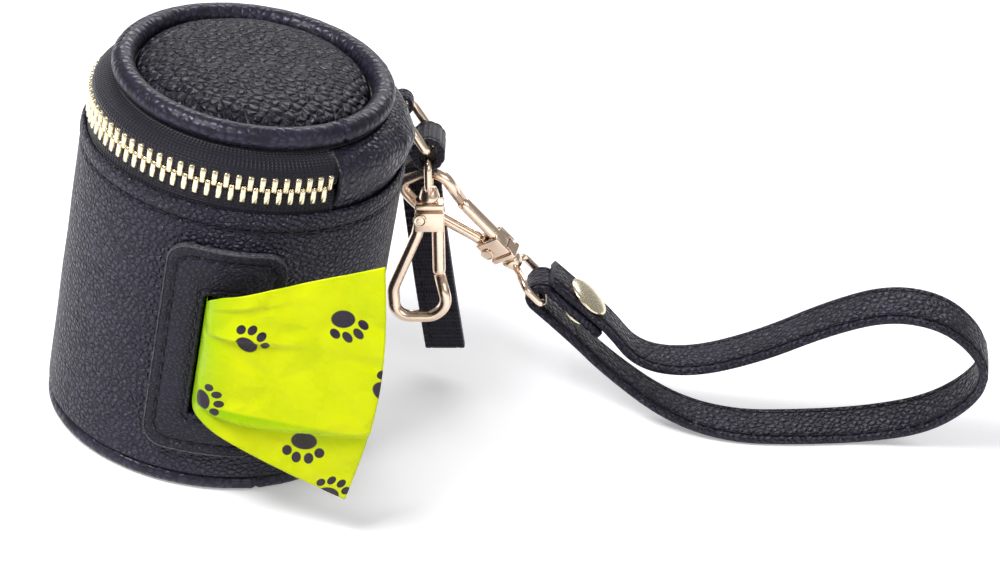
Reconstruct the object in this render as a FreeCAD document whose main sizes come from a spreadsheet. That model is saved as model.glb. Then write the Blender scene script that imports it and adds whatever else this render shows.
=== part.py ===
import FreeCAD, Part
import math
import os
import Sketcher
from FreeCAD import Placement, Rotation, Vector

# A round zipped carrier for a roll of waste bags, standing on its base with +Z up.
# The slot for the bags faces -Y, and the leather hinge, the D-ring and the clasps are at +X.
doc = FreeCAD.newDocument("bag_carrier")

# Driving dimensions, in millimetres and degrees.
DIMENSIONS = {
    "wall_radius": 31.0,
    "wall_thick": 1.0,
    "hem_height": 61.1,
    "board_thick": 0.8,
    "board_top": 55.5,
    "lining_thick": 0.4,
    "lining_top": 60.0,
    "base_radius": 27.5,
    "base_panel_thick": 1.0,
    "base_board_thick": 1.2,
    "foot_cord_ring": 29.1,
    "foot_cord_radius": 1.5,
    "foot_cord_height": 1.6,
    "wall_foot": 3.2,
    "tape_thick": 0.5,
    "tape_foot": 56.0,
    "tape_gap": 3.4,
    "tape_bend": 69.8,
    "chain_height": 65.9,
    "chain_start": 50.0,
    "chain_sweep": 256.0,
    "tape_start": 44.5,
    "tape_sweep": 262.5,
    "tooth_pitch": 2.2,
    "tooth_width": 0.95,
    "tooth_depth": 1.7,
    "tooth_reach": 2.7,
    "tooth_mesh": 0.5,
    "slider_angle": 53.5,
    "slider_sweep": 15.0,
    "slider_plate": 0.8,
    "slider_room": 0.3,
    "pull_length": 18.0,
    "pull_width": 5.0,
    "panel_start": -52.5,
    "panel_sweep": 96.0,
    "lid_cord_ring": 24.8,
    "lid_cord_radius": 2.25,
    "lid_cord_height": 74.0,
    "lid_seam_radius": 26.9,
    "lid_seam_height": 71.5,
    "lid_lining_thick": 0.25,
    "lid_lining_inset": 1.4,
    "lid_seam_lap": 2.4,
    "lid_board_radius": 22.8,
    "lid_board_top": 72.6,
    "dome_radius": 22.3,
    "dome_shoulder": 74.6,
    "dome_top": 77.4,
    "dome_thick": 0.9,
    "dome_roll": 2.0,
    "dome_edge": 2.7,
    "pad_gap": 0.1,
    "slot_x": 0.5,
    "slot_width": 6.4,
    "slot_low": 17.1,
    "slot_high": 43.3,
    "patch_thick": 1.2,
    "patch_low": 9.0,
    "patch_high": 53.0,
    "patch_start": -109.6,
    "patch_sweep": 41.0,
    "patch_corner": 3.5,
    "roll_x": 12.0,
    "roll_y": 1.0,
    "roll_radius": 13.9,
    "roll_foot": 2.9,
    "roll_length": 60.0,
    "core_radius": 7.0,
    "core_thick": 1.0,
    "film_thick": 0.4,
    "film_x": -2.25,
    "ring_wire": 0.9,
    "ring_half": 5.35,
    "ring_reach": 9.7,
    "ring_dip": 49.6,
    "ring_tab_width": 3.6,
    "ring_tab_thick": 0.8,
    "bar_x": 35.6,
    "bar_y": 21.0,
    "bar_z": 54.9,
    "lean": 10.0,
    "eye_drop": 2.5,
    "webbing_thick": 1.3,
    "webbing_width": 8.2,
    "webbing_bend": 2.1,
    "webbing_length": 48.5,
    "eye_wire": 0.7,
    "holder_eye_half": 5.0,
    "wrist_eye_half": 5.8,
    "hook_wire": 1.15,
    "hook_bow": 5.5,
    "hook_heel": 31.6,
    "hook_bend": 3.6,
    "gate_wire": 1.3,
    "swivel_post": 0.9,
    "swivel_head": 1.15,
    "swivel_room": 0.05,
    "wrist_x": 63.64,
    "wrist_y": 26.26,
    "wrist_z": 22.66,
    "wrist_bearing": 7.28,
    "wrist_dip": 41.2,
    "wrist_roll": 28.48,
    "strap_bearing": -1.5,
    "strap_dip": 34.0,
    "strap_thick": 1.8,
    "strap_width": 8.8,
    "strap_fold": 2.3,
    "snap_reach": 7.8,
    "snap_cap_radius": 4.6,
    "snap_post": 1.1,
}


class Term:
    # A size that carries both its number and its expression in the sheet.
    def __init__(self, text, value):
        self.text = text
        self.value = value

    def join(self, other, sign, value):
        return Term("(%s %s %s)" % (self.text, sign, term(other).text), value)

    def __add__(self, other):
        return self.join(other, "+", self.value + term(other).value)

    def __sub__(self, other):
        return self.join(other, "-", self.value - term(other).value)

    def __truediv__(self, other):
        return self.join(other, "/", self.value / term(other).value)


def term(size):
    if isinstance(size, Term):
        return size
    return Term(str(size), float(size))


sheet = doc.addObject("Spreadsheet::Sheet", "Sizes")
size = {}
for row, (alias, number) in enumerate(DIMENSIONS.items(), 1):
    sheet.set("A%d" % row, alias)
    sheet.set("B%d" % row, str(number))
    sheet.setAlias("B%d" % row, alias)
    size[alias] = Term("Sizes." + alias, number)
doc.recompute()


def mm(alias):
    return float(sheet.get(alias))


nodes = []


def keep(thing, label):
    thing.Label = label
    nodes.append(thing)
    return thing


# Turned and cut pieces, drawn as sketches.
def profile(body, name, outline):
    # An outline is a ring of (across, up) corners. A third entry is the radius of the arc that follows,
    # which bulges outwards, or inwards with a fourth entry.
    sketch = body.newObject("Sketcher::SketchObject", name)
    plane = [part for part in body.Origin.OriginFeatures if part.Role == "XZ_Plane"][0]
    sketch.AttachmentSupport = (plane, "")
    sketch.MapMode = "FlatFace"
    corners = [(term(point[0]), term(point[1])) for point in outline]
    places = [Vector(across.value, up.value, 0) for across, up in corners]
    ends = []
    for index, point in enumerate(outline):
        start = places[index]
        stop = places[(index + 1) % len(places)]
        if len(point) == 2:
            sketch.addGeometry(Part.LineSegment(start, stop), False)
            ends.append((1, 2))
            continue
        radius = term(point[2]).value
        if len(point) == 4:
            start, stop = stop, start
        half = (stop - start) * 0.5
        rise = math.sqrt(radius ** 2 - half.Length ** 2)
        middle = start + half + Vector(-half.y, half.x, 0).normalize() * rise
        first = math.atan2(start.y - middle.y, start.x - middle.x)
        last = math.atan2(stop.y - middle.y, stop.x - middle.x)
        circle = Part.Circle(middle, Vector(0, 0, 1), radius)
        sketch.addGeometry(Part.ArcOfCircle(circle, first, last), False)
        ends.append((2, 1) if len(point) == 4 else (1, 2))
    for index, point in enumerate(outline):
        after = (index + 1) % len(outline)
        sketch.addConstraint(Sketcher.Constraint("Coincident", index, ends[index][1], after, ends[after][0]))
        for kind, place in zip(("DistanceX", "DistanceY"), corners[index]):
            rule = sketch.addConstraint(Sketcher.Constraint(kind, -1, 1, index, ends[index][0], place.value))
            sketch.setExpression("Constraints[%d]" % rule, place.text)
        if len(point) > 2:
            bend = term(point[2])
            rule = sketch.addConstraint(Sketcher.Constraint("Radius", index, bend.value))
            sketch.setExpression("Constraints[%d]" % rule, bend.text)
    return sketch


def turned(label, outline, start=None, sweep=None):
    body = doc.addObject("PartDesign::Body", label)
    spin = body.newObject("PartDesign::Revolution", label + "_turn")
    spin.Profile = profile(body, label + "_outline", outline)
    spin.ReferenceAxis = (spin.Profile[0], ["V_Axis"])
    spin.Angle = 360
    if sweep:
        spin.setExpression("Angle", sweep.text)
    body.Tip = spin
    if start:
        body.Placement = Placement(Vector(), Rotation(Vector(0, 0, 1), start.value))
    doc.recompute()
    return keep(body, label)


def tube(inner, outer, foot, top):
    return [(inner, foot), (outer, foot), (outer, top), (inner, top)]


def cut_slot(body, turn=None):
    # The slot is cut towards -Y only. A turned body's sketch is turned back by its own start angle.
    left = size["slot_x"] - size["slot_width"] / 2
    right = size["slot_x"] + size["slot_width"] / 2
    outline = tube(left, right, size["slot_low"], size["slot_high"])
    sketch = profile(body, body.Name + "_slot", outline)
    if turn:
        sketch.AttachmentOffset = Placement(Vector(), Rotation(Vector(0, 1, 0), -turn.value))
    before = body.Shape.Volume
    slot = body.newObject("PartDesign::Pocket", body.Name + "_cut")
    slot.Profile = sketch
    slot.Reversed = True
    slot.setExpression("Length", "Sizes.wall_radius + 10")
    body.Tip = slot
    doc.recompute()
    print(body.Label, "slot cuts", round(before - body.Shape.Volume, 1), "mm3")


def cord_ring(label, ring, radius, height):
    torus = doc.addObject("Part::Torus", label)
    torus.setExpression("Radius1", size[ring].text)
    torus.setExpression("Radius2", size[radius].text)
    torus.setExpression("Placement.Base.z", size[height].text)
    doc.recompute()
    return keep(torus, label)


# Body: leather wall, stiffening board and cloth lining, with the slot through all three.
wall_inner = size["wall_radius"] - size["wall_thick"]
board_inner = wall_inner - size["board_thick"]
lining_inner = board_inner - size["lining_thick"]
wall = turned("body_wall", tube(wall_inner, size["wall_radius"], size["wall_foot"], size["hem_height"]))
cut_slot(wall)
board = turned("body_board", tube(board_inner, wall_inner, size["wall_foot"], size["board_top"]))
cut_slot(board)

floor_under = size["base_panel_thick"] + size["base_board_thick"]
floor_top = floor_under + size["lining_thick"]
ledge = size["wall_foot"] + size["lining_thick"]
lining = turned("body_lining", [
    (0, floor_under), (size["base_radius"], floor_under), (size["base_radius"], size["wall_foot"]),
    (board_inner, size["wall_foot"]), (board_inner, size["lining_top"]), (lining_inner, size["lining_top"]),
    (lining_inner, ledge), (size["base_radius"] - size["lining_thick"], ledge),
    (size["base_radius"] - size["lining_thick"], floor_top), (0, floor_top)])
cut_slot(lining)

turned("base_panel", tube(0, size["base_radius"], 0, size["base_panel_thick"]))
turned("base_board", tube(0, size["base_radius"], size["base_panel_thick"], floor_under))
cord_ring("base_piping", "foot_cord_ring", "foot_cord_radius", "foot_cord_height")

# Slot patch: a curved leather plate with rounded corners, sewn on the wall.
patch = turned("slot_patch",
               tube(size["wall_radius"], size["wall_radius"] + size["patch_thick"],
                    size["patch_low"], size["patch_high"]),
               size["patch_start"], size["patch_sweep"])
corner_edges = [
    "Edge%d" % number for number, edge in enumerate(patch.Shape.Edges, 1)
    if abs(edge.Length - mm("patch_thick")) < 0.001]
square_patch = patch.Tip
rounding = patch.newObject("PartDesign::Fillet", "patch_rounding")
rounding.Base = (square_patch, corner_edges)
rounding.setExpression("Radius", "Sizes.patch_corner")
patch.Tip = rounding
doc.recompute()
cut_slot(patch, size["patch_start"])

# Zip: the lower tape is sewn inside the wall, and the upper one slopes in to the lid's seam.
tape_inner = wall_inner - size["tape_thick"]
tape_middle = wall_inner - size["tape_thick"] / 2
lower_edge = size["chain_height"] - size["tape_gap"] / 2
upper_edge = size["chain_height"] + size["tape_gap"] / 2
half_tape = size["tape_thick"] / 2
seam_inner = size["lid_seam_radius"] - size["lid_seam_lap"]
turned("lower_zip_tape", tube(tape_inner, wall_inner, size["tape_foot"], lower_edge),
       size["tape_start"], size["tape_sweep"])
slope = [
    (wall_inner, size["tape_bend"]), (size["lid_seam_radius"], size["lid_seam_height"]),
    (seam_inner, size["lid_seam_height"]), (seam_inner, size["lid_seam_height"] - size["tape_thick"]),
    (size["lid_seam_radius"] - half_tape, size["lid_seam_height"] - size["tape_thick"]),
    (tape_inner, size["tape_bend"] - half_tape)]
turned("upper_zip_tape", [(tape_inner, upper_edge), (wall_inner, upper_edge)] + slope,
       size["tape_start"], size["tape_sweep"])

# Hinge panel: one strip of leather from inside the wall up to the lid's seam.
turned("hinge_panel", [(tape_inner, size["tape_foot"]), (wall_inner, size["tape_foot"])] + slope,
       size["panel_start"], size["panel_sweep"])

# Lid: piping, domed leather, foam pad, board and lining.
cord_ring("lid_piping", "lid_cord_ring", "lid_cord_radius", "lid_cord_height")
lining_face = size["lid_seam_height"] + size["lid_lining_thick"]
lining_rim = size["lid_seam_radius"] - size["lid_lining_inset"]
turned("lid_lining", tube(0, lining_rim, size["lid_seam_height"], lining_face))
turned("lid_board", tube(0, size["lid_board_radius"], lining_face, size["lid_board_top"]))
crown = size["dome_top"] - size["dome_shoulder"]


def crown_arc(reach):
    # The radius of a cap that rises by the crown over this reach.
    text = "(%s * %s / (2 * %s) + %s / 2)" % (reach.text, reach.text, crown.text, crown.text)
    return Term(text, reach.value ** 2 / (2 * crown.value) + crown.value / 2)


shoulder = size["dome_radius"] - size["dome_roll"]
under_shoulder = size["dome_shoulder"] - size["dome_thick"]
under_top = size["dome_top"] - size["dome_thick"]
under_radius = size["dome_radius"] - size["dome_thick"]
turned("lid_panel", [
    (size["dome_radius"], size["lid_board_top"], size["dome_edge"]),
    (shoulder, size["dome_shoulder"], crown_arc(shoulder)), (0, size["dome_top"]),
    (0, under_top, crown_arc(shoulder), "inwards"), (shoulder, under_shoulder),
    (under_radius, size["lid_board_top"])])
pad_shoulder = shoulder - size["pad_gap"] - size["pad_gap"]
pad_radius = under_radius - size["pad_gap"] - size["pad_gap"]
turned("lid_pad", [
    (0, size["lid_board_top"]), (pad_radius, size["lid_board_top"]),
    (pad_shoulder, under_shoulder - size["pad_gap"], crown_arc(pad_shoulder)),
    (0, under_top - size["pad_gap"])])

# Bag roll on its card core, standing beside the slot.
roll_top = size["roll_foot"] + size["roll_length"]
core_inner = size["core_radius"] - size["core_thick"]
for label, inner, outer in (("bag_roll", size["core_radius"], size["roll_radius"]),
                            ("roll_core", core_inner, size["core_radius"])):
    roll = turned(label, tube(inner, outer, size["roll_foot"], roll_top))
    roll.setExpression("Placement.Base.x", "Sizes.roll_x")
    roll.setExpression("Placement.Base.y", "Sizes.roll_y")


# Freely shaped pieces.
def solid(label, shape, placement=Placement()):
    feature = doc.addObject("Part::Feature", label)
    feature.Shape = shape
    feature.Placement = placement
    return keep(feature, label)


def sector(inner, outer, foot, top, start, sweep):
    corners = [(inner, foot), (outer, foot), (outer, top), (inner, top), (inner, foot)]
    face = Part.Face(Part.makePolygon([Vector(across, 0, up) for across, up in corners]))
    axis = Vector(0, 0, 1)
    face.rotate(Vector(), axis, start)
    return face.revolve(Vector(), axis, sweep)


def fused(first, *others):
    return first.multiFuse(list(others)).removeSplitter()


def box(low, high):
    span = [top - bottom for bottom, top in zip(low, high)]
    return Part.makeBox(*span, Vector(*low))


def route(corners, bend):
    # Straight runs joined by tangent arcs. Each stretch is (start, stop) or (start, stop, centre, turn).
    stretches = []
    here = corners[0]
    for before, corner, after in zip(corners, corners[1:], corners[2:]):
        come = (corner - before).normalize()
        leave = (after - corner).normalize()
        half = come.getAngle(leave) / 2
        room = 0.45 * min((corner - before).Length, (after - corner).Length)
        radius = min(bend, room / math.tan(half))
        back = radius * math.tan(half)
        turn = 1 if come.cross(leave).y < 0 else -1
        across = Vector(-come.z, 0, come.x) * turn
        enter = corner - come * back
        stretches.append((here, enter))
        here = corner + leave * back
        stretches.append((enter, here, enter + across * radius, turn))
    stretches.append((here, corners[-1]))
    return stretches


def arc_edge(start, stop, centre):
    chord = (start + stop) * 0.5 - centre
    middle = centre + chord.normalize() * (start - centre).Length
    return Part.Arc(start, middle, stop).toShape()


def side_edges(stretches, reach):
    # One side of a ribbon, at a distance from its middle line.
    edges = []
    for start, stop, *arc in stretches:
        if arc:
            centre, turn = arc
            grow = 1 - turn * reach / (start - centre).Length
            edges.append(arc_edge(centre + (start - centre) * grow, centre + (stop - centre) * grow, centre))
        else:
            run = (stop - start).normalize()
            across = Vector(-run.z, 0, run.x) * reach
            edges.append(Part.makeLine(start + across, stop + across))
    return edges


def ribbon(corners, thick, width, bend):
    # A flat strap whose middle line lies in the XZ plane.
    stretches = route([Vector(across, 0, up) for across, up in corners], bend)
    left = side_edges(stretches, thick / 2)
    right = side_edges(stretches, -thick / 2)
    caps = [Part.makeLine(left[0].firstVertex().Point, right[0].firstVertex().Point),
            Part.makeLine(left[-1].lastVertex().Point, right[-1].lastVertex().Point)]
    outline = Part.Wire(Part.__sortEdges__(left + right + caps))
    strap = Part.Face(outline).extrude(Vector(0, width, 0))
    strap.translate(Vector(0, -width / 2, 0))
    return strap


def rod(corners, radius, bend):
    # A round wire whose middle line lies in the XZ plane.
    places = [Vector(across, 0, up) for across, up in corners]
    edges = []
    for start, stop, *arc in route(places, bend):
        edges.append(arc_edge(start, stop, arc[0]) if arc else Part.makeLine(start, stop))
    end = Part.Wire(Part.makeCircle(radius, places[0], places[1] - places[0]))
    return Part.Wire(edges).makePipeShell([end], True, False)


def racetrack(rise, radius, width):
    # A flat-sided bar along Y with a round edge at the origin and another above it.
    ends = [Part.makeCylinder(radius, width, Vector(0, -width / 2, height), Vector(0, 1, 0))
            for height in (0, rise)]
    return fused(box((-radius, -width / 2, 0), (radius, width / 2, rise)), *ends)


# Zip teeth: each straddles the edge of its tape, and the two rows are half a pitch apart.
def tooth_row(label, up, shift):
    depth = mm("tooth_depth") / 2
    middle = tape_middle.value
    grip = mm("tape_thick") / 2
    chain = mm("chain_height")
    edge = mm("tape_gap") / 2
    heel = mm("tooth_reach")
    tip = -mm("tooth_mesh")
    outline = [(-depth, tip), (depth, tip), (depth, heel), (grip, heel),
               (grip, edge), (-grip, edge), (-grip, heel), (-depth, heel)]
    corners = [Vector(middle + across, 0, chain + up * height) for across, height in outline]
    face = Part.Face(Part.makePolygon(corners + corners[:1]))
    face.translate(Vector(0, -mm("tooth_width") / 2, 0))
    tooth = face.extrude(Vector(0, mm("tooth_width"), 0))
    step = math.degrees(mm("tooth_pitch") / middle)
    count = int(mm("chain_sweep") / step)
    teeth = []
    for number in range(count):
        copy = tooth.copy()
        copy.rotate(Vector(), Vector(0, 0, 1), mm("chain_start") + (number + shift) * step)
        teeth.append(copy)
    solid(label, Part.makeCompound(teeth))


tooth_row("lower_zip_teeth", -1, 0.5)
tooth_row("upper_zip_teeth", 1, 1.0)

# Zip slider: two curved plates with flanges, joined by a wedge ahead of the last teeth.
room = mm("slider_room")
plate = mm("slider_plate")
tooth_in = tape_middle.value - mm("tooth_depth") / 2 - room
tooth_out = tape_middle.value + mm("tooth_depth") / 2 + room
tape_room = mm("tape_thick") / 2 + room
slider_start = mm("slider_angle") - mm("slider_sweep") / 2
heel_gap = 0.25
low_edge = mm("chain_height") - mm("tooth_reach") - heel_gap
high_edge = mm("chain_height") + mm("tooth_reach") + heel_gap
flange = 0.4
wedge_half = 0.8
wedge_sweep = 3.0
face_out = tooth_out + plate
slider_parts = [
    sector(tooth_out, face_out, low_edge - flange, high_edge + flange, slider_start, mm("slider_sweep")),
    sector(tooth_in - plate, tooth_in, low_edge - flange, high_edge + flange, slider_start, mm("slider_sweep")),
    sector(tooth_in - plate, face_out, mm("chain_height") - wedge_half, mm("chain_height") + wedge_half,
           slider_start, wedge_sweep)]
for foot in (low_edge - flange, high_edge):
    slider_parts.append(sector(tape_middle.value + tape_room, face_out, foot, foot + flange,
                               slider_start, mm("slider_sweep")))
    slider_parts.append(sector(tooth_in - plate, tape_middle.value - tape_room, foot, foot + flange,
                               slider_start, mm("slider_sweep")))
lug = 0.8
lug_root = 0.3
lug_half_angle = 2
eye_half = 1.3
eye_low = mm("chain_height") - eye_half
eye_high = mm("chain_height") + eye_half
pin_reach = face_out + eye_half
pin_radius = 0.45
for foot in (eye_low - lug, eye_high):
    slider_parts.append(sector(face_out - lug_root, pin_reach + lug, foot, foot + lug,
                               mm("slider_angle") - lug_half_angle, 2 * lug_half_angle))
turn_out = Rotation(Vector(0, 0, 1), mm("slider_angle"))
pin_place = turn_out.multVec(Vector(pin_reach, 0, 0))
slider_parts.append(Part.makeCylinder(pin_radius, eye_high - eye_low + lug,
                                      pin_place + Vector(0, 0, eye_low - lug / 2)))
solid("zip_slider", fused(*slider_parts))

# Pull tab: an eye on the slider's pin, a neck between the lugs and a flat grip.
neck_half = eye_half - 0.15
neck = 2.4
flat = 0.5
grip = mm("pull_width") / 2
pull = fused(
    Part.makeCylinder(2 * flat, 2 * neck_half, Vector(0, 0, -neck_half)),
    box((-flat, 0, -neck_half), (flat, neck + 1, neck_half)),
    box((-flat, neck, -grip), (flat, mm("pull_length"), grip)))
pull = pull.cut(Part.makeCylinder(pin_radius + 0.06, 4, Vector(0, 0, -2)))
solid("zip_pull", pull, Placement(pin_place + Vector(0, 0, mm("chain_height")), turn_out))

# Loose end of the next bag: straight through the slot, round to the right, then a creased fan.
film_stations = [
    # across, depth, facing, low, high, crease
    (mm("film_x"), mm("roll_y"), 0, 17.9, 42.5, 0),
    (mm("film_x"), -30.0, 0, 17.9, 42.5, 0),
    (mm("film_x"), -35.0, 0, 17.4, 43.2, 0),
    (0.0, -38.0, 45, 16.6, 44.6, 0.2),
    (4.0, -39.0, 90, 15.4, 46.4, 0.6),
    (16.0, -39.4, 90, 12.2, 52.6, 1.1),
    (29.5, -40.0, 90, 8.4, 59.4, 0.8)]
crease_shape = [0, 1, -0.6, 1, 0]
film_rings = []
for across, depth, facing, low, high, crease in film_stations:
    face = Vector(math.cos(math.radians(facing)), math.sin(math.radians(facing)), 0)
    line = []
    for step, wave in enumerate(crease_shape):
        up = low + (high - low) * step / (len(crease_shape) - 1)
        line.append(Vector(across, depth, up) + face * wave * crease)
    front = [place + face * mm("film_thick") / 2 for place in line]
    back = [place - face * mm("film_thick") / 2 for place in reversed(line)]
    film_rings.append(Part.makePolygon(front + back + front[:1]))
solid("bag_tail", Part.makeLoft(film_rings, True, True))

# D-ring: its arch hangs in the leather tab, and its straight bar carries the webbing.
bar = Vector(mm("bar_x"), mm("bar_y"), mm("bar_z"))
half = mm("ring_half")
reach = mm("ring_reach")
ring_half = rod([(0, 0), (half, 0), (half, reach - half)], mm("ring_wire"), 1.6)
arch = Part.makeTorus(half, mm("ring_wire"), Vector(0, 0, reach - half), Vector(0, 1, 0))
arch = arch.common(box((-10, -10, reach - half), (10, 10, reach + 10)))
ring_shape = fused(ring_half, ring_half.mirror(Vector(), Vector(1, 0, 0)), arch)
ring_lie = Rotation(Vector(0, 1, 0), mm("ring_dip") - 90).multiply(Rotation(Vector(0, 0, 1), 90))
solid("d_ring", ring_shape, Placement(bar, ring_lie))
ring_rise = Rotation(Vector(0, 1, 0), mm("ring_dip") - 90).multVec(Vector(0, 0, reach))
ring_top = bar + ring_rise

# Ring tab: a leather strip folded round the arch, with both ends on the wall.
tab_room = 0.55
tab_gap = mm("ring_wire") + tab_room + mm("ring_tab_thick") / 2
tab_run = 14.0
tab_slope = Vector(-0.8, 0, -0.6).normalize()
tab_side = Vector(-tab_slope.z, 0, tab_slope.x)
tab_line = [tab_side * tab_gap + tab_slope * tab_run, tab_side * tab_gap - tab_slope * tab_gap,
            tab_side * -tab_gap - tab_slope * tab_gap, tab_side * -tab_gap + tab_slope * tab_run]
tab = ribbon([(place.x, place.z) for place in tab_line], mm("ring_tab_thick"), mm("ring_tab_width"), tab_gap)
tab.translate(ring_top)
inside = Part.makeCylinder(mm("wall_radius"), mm("hem_height"))
solid("ring_tab", tab.cut(inside))

# Webbing: sewn in a loop round the ring's bar and the clasp's eye, with a twisted tail behind.
hang = Rotation(Vector(0, 1, 0), -mm("lean"))
holder = bar + hang.multVec(Vector(0, 0, -mm("eye_drop")))
loop_inner = mm("webbing_bend")
loop_outer = loop_inner + mm("webbing_thick")
loop_side = (loop_inner + loop_outer) / 2
eye_room = 0.25
bar_room = 0.15
loop_foot = loop_inner - mm("eye_wire") - eye_room
loop_rise = mm("eye_drop") + mm("ring_wire") + bar_room - loop_inner - loop_foot
webbing_loop = racetrack(loop_rise, loop_outer, mm("webbing_width"))
webbing_loop = webbing_loop.cut(racetrack(loop_rise, loop_inner, mm("webbing_width")))
webbing_loop.translate(Vector(0, 0, loop_foot))
tail_stations = [
    # sideways, backwards, down, facing, thickness in webbing layers
    (-loop_side, 0.0, -1.2, 90, 0.9),
    (-3.7, 5.6, 3.2, 62, 1.4),
    (-2.9, 7.9, 7.0, 20, 1.9),
    (-1.9, 8.3, 11.0, 3, 1.9),
    (-0.9, 8.3, 22.0, 0, 1.9),
    (2.2, 8.0, mm("webbing_length"), 0, 1.9)]
tail_half = mm("webbing_width") / 2 - 0.1
tail_rings = []
for across, depth, drop, facing, layers in tail_stations:
    run = Vector(math.cos(math.radians(facing)), math.sin(math.radians(facing)), 0) * tail_half
    thick = Vector(-run.y, run.x, 0).normalize() * mm("webbing_thick") * layers / 2
    middle = Vector(across, depth, -drop)
    ring = [middle + run + thick, middle - run + thick, middle - run - thick, middle + run - thick]
    tail_rings.append(Part.makePolygon(ring + ring[:1]))
webbing_tail = Part.makeLoft(tail_rings, True, True)
solid("leash_strap", fused(webbing_loop, webbing_tail), Placement(holder, hang))

# Swivel clasps: in their own frame the eye's bar is at the origin and the hook hangs along -Z.
pivot_across = -1.9
pivot_height = -14.3
nose_reach = 13.2
nose_gap = 0.24
seat_half = 2.9
seat_depth = 1.8
seat_top = -10.9
seat_foot = -12.3
collar_radius = 1.9
collar_length = 2.7
collar_gap = 0.2
cheek_top = -12.7
cheek_foot = -17.0
cheek_thick = 0.6
cheek_gap = 1.3
rivet_radius = 0.8
rivet_half = 2.0


def clasp_eye(half):
    wire = mm("eye_wire")
    shoulder_drop = -5.4
    neck_drop = -8.4
    neck_half = 0.9
    loop = rod([(-neck_half, neck_drop), (-half, shoulder_drop), (-half, 0),
                (half, 0), (half, shoulder_drop), (neck_half, neck_drop)], wire, 2 * wire)
    loop.rotate(Vector(), Vector(0, 0, 1), 90)
    post_foot = Vector(0, 0, seat_foot + mm("swivel_room"))
    return fused(
        loop,
        Part.makeCylinder(collar_radius, collar_length, Vector(0, 0, seat_top + collar_gap)),
        Part.makeCylinder(mm("swivel_post"), seat_top - seat_foot + collar_gap, post_foot),
        Part.makeCylinder(mm("swivel_head"), 0.6, post_foot))


def turned_pin(radius, reach):
    return Part.makeCylinder(radius, 2 * reach, Vector(pivot_across, -reach, pivot_height), Vector(0, 1, 0))


def clasp_hook():
    bow = mm("hook_bow")
    heel = mm("hook_heel")
    left = pivot_across - bow
    right = pivot_across + bow
    bow_line = [(pivot_across, -15.2), (-2.5, -17.6), (left - 0.35, 1.0 - heel), (left, -heel - bow),
                (right, -heel - bow), (1.7, -25.8)]
    arm = rod(bow_line, mm("hook_wire"), mm("hook_bend"))
    swing = turned_pin(nose_reach + nose_gap / 2, 3).common(box((0.2, -3, -30), (4, 3, -20)))
    seat = box((-seat_half, -seat_depth, seat_foot), (seat_half, seat_depth, seat_top))
    cheek = box((-seat_half, -1.15, -17.3), (-0.95, 1.15, seat_foot))
    hook = fused(arm.cut(swing), seat, cheek)
    bore = Part.makeCylinder(mm("swivel_post") + mm("swivel_room"), 3, Vector(0, 0, seat_foot))
    head_room = Part.makeCylinder(mm("swivel_head") + 0.1, 0.7, Vector(0, 0, seat_foot))
    return hook.cut(bore).cut(head_room).cut(turned_pin(rivet_radius, 4))


def clasp_rivet():
    head_thick = 0.3
    head_radius = 1.35
    rivet = turned_pin(rivet_radius, rivet_half)
    for depth in (-rivet_half - head_thick, rivet_half):
        centre = Vector(pivot_across, depth, pivot_height)
        rivet = fused(rivet, Part.makeCylinder(head_radius, head_thick, centre, Vector(0, 1, 0)))
    return rivet


def clasp_gate():
    across = 1.6
    edge = 2.8
    bar_top = -13.9
    bar = Part.makeCylinder(mm("gate_wire"), 14.0, Vector(across, 0, bar_top), Vector(0, 0, -1))
    bar = bar.common(turned_pin(nose_reach - nose_gap / 2, 3))
    cheeks = [box((-seat_half, depth, cheek_foot), (edge, depth + cheek_thick, cheek_top))
              for depth in (-cheek_gap - cheek_thick, cheek_gap)]
    bridge = box((0.6, -cheek_gap - 0.2, cheek_foot), (edge, cheek_gap + 0.2, bar_top))
    return fused(bar, bridge, *cheeks).cut(turned_pin(rivet_radius + 0.06, 4))


def clasp_spring():
    # A small coil between the hook's cheek and the gate's bridge.
    length = 1.1
    foot = Vector(-0.85, 0, -15.6)
    outer = Part.makeCylinder(0.6, length, foot, Vector(1, 0, 0))
    return outer.cut(Part.makeCylinder(0.35, length, foot, Vector(1, 0, 0)))


def clasp(name, eye_half, hook_place, eye_place):
    solid(name + "_eye", clasp_eye(eye_half), eye_place)
    solid(name + "_hook", clasp_hook(), hook_place)
    solid(name + "_rivet", clasp_rivet(), hook_place)
    solid(name + "_gate", clasp_gate(), hook_place)
    solid(name + "_spring", clasp_spring(), hook_place)


hanging = Placement(holder, hang)
clasp("holder_clasp", mm("holder_eye_half"), hanging, hanging)

# The second clasp is hooked through the first one's eye from behind, and leans out to the wrist strap.
wrist_bar = Vector(mm("wrist_x"), mm("wrist_y"), mm("wrist_z"))
bearing = math.radians(mm("wrist_bearing"))
dip = math.radians(mm("wrist_dip"))
roll_angle = math.radians(mm("wrist_roll"))
along = Vector(math.cos(dip) * math.cos(bearing), math.cos(dip) * math.sin(bearing), -math.sin(dip))
rise = Vector(math.sin(dip) * math.cos(bearing), math.sin(dip) * math.sin(bearing), math.cos(dip))
aside = Vector(math.sin(bearing), -math.cos(bearing), 0)
wide = rise * math.cos(roll_angle) + aside * math.sin(roll_angle)
hook_turn = Rotation(wide, along.cross(wide), along, "ZXY")
strap_turn = Rotation(Vector(0, 0, 1), mm("strap_bearing"))
strap_across = strap_turn.multVec(Vector(0, 1, 0))
eye_bar = (strap_across - along * strap_across.dot(along)).normalize()
eye_turn = Rotation(eye_bar.cross(along), eye_bar, along, "ZYX")
clasp("wrist_clasp", mm("wrist_eye_half"), Placement(wrist_bar, hook_turn), Placement(wrist_bar, eye_turn))

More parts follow.
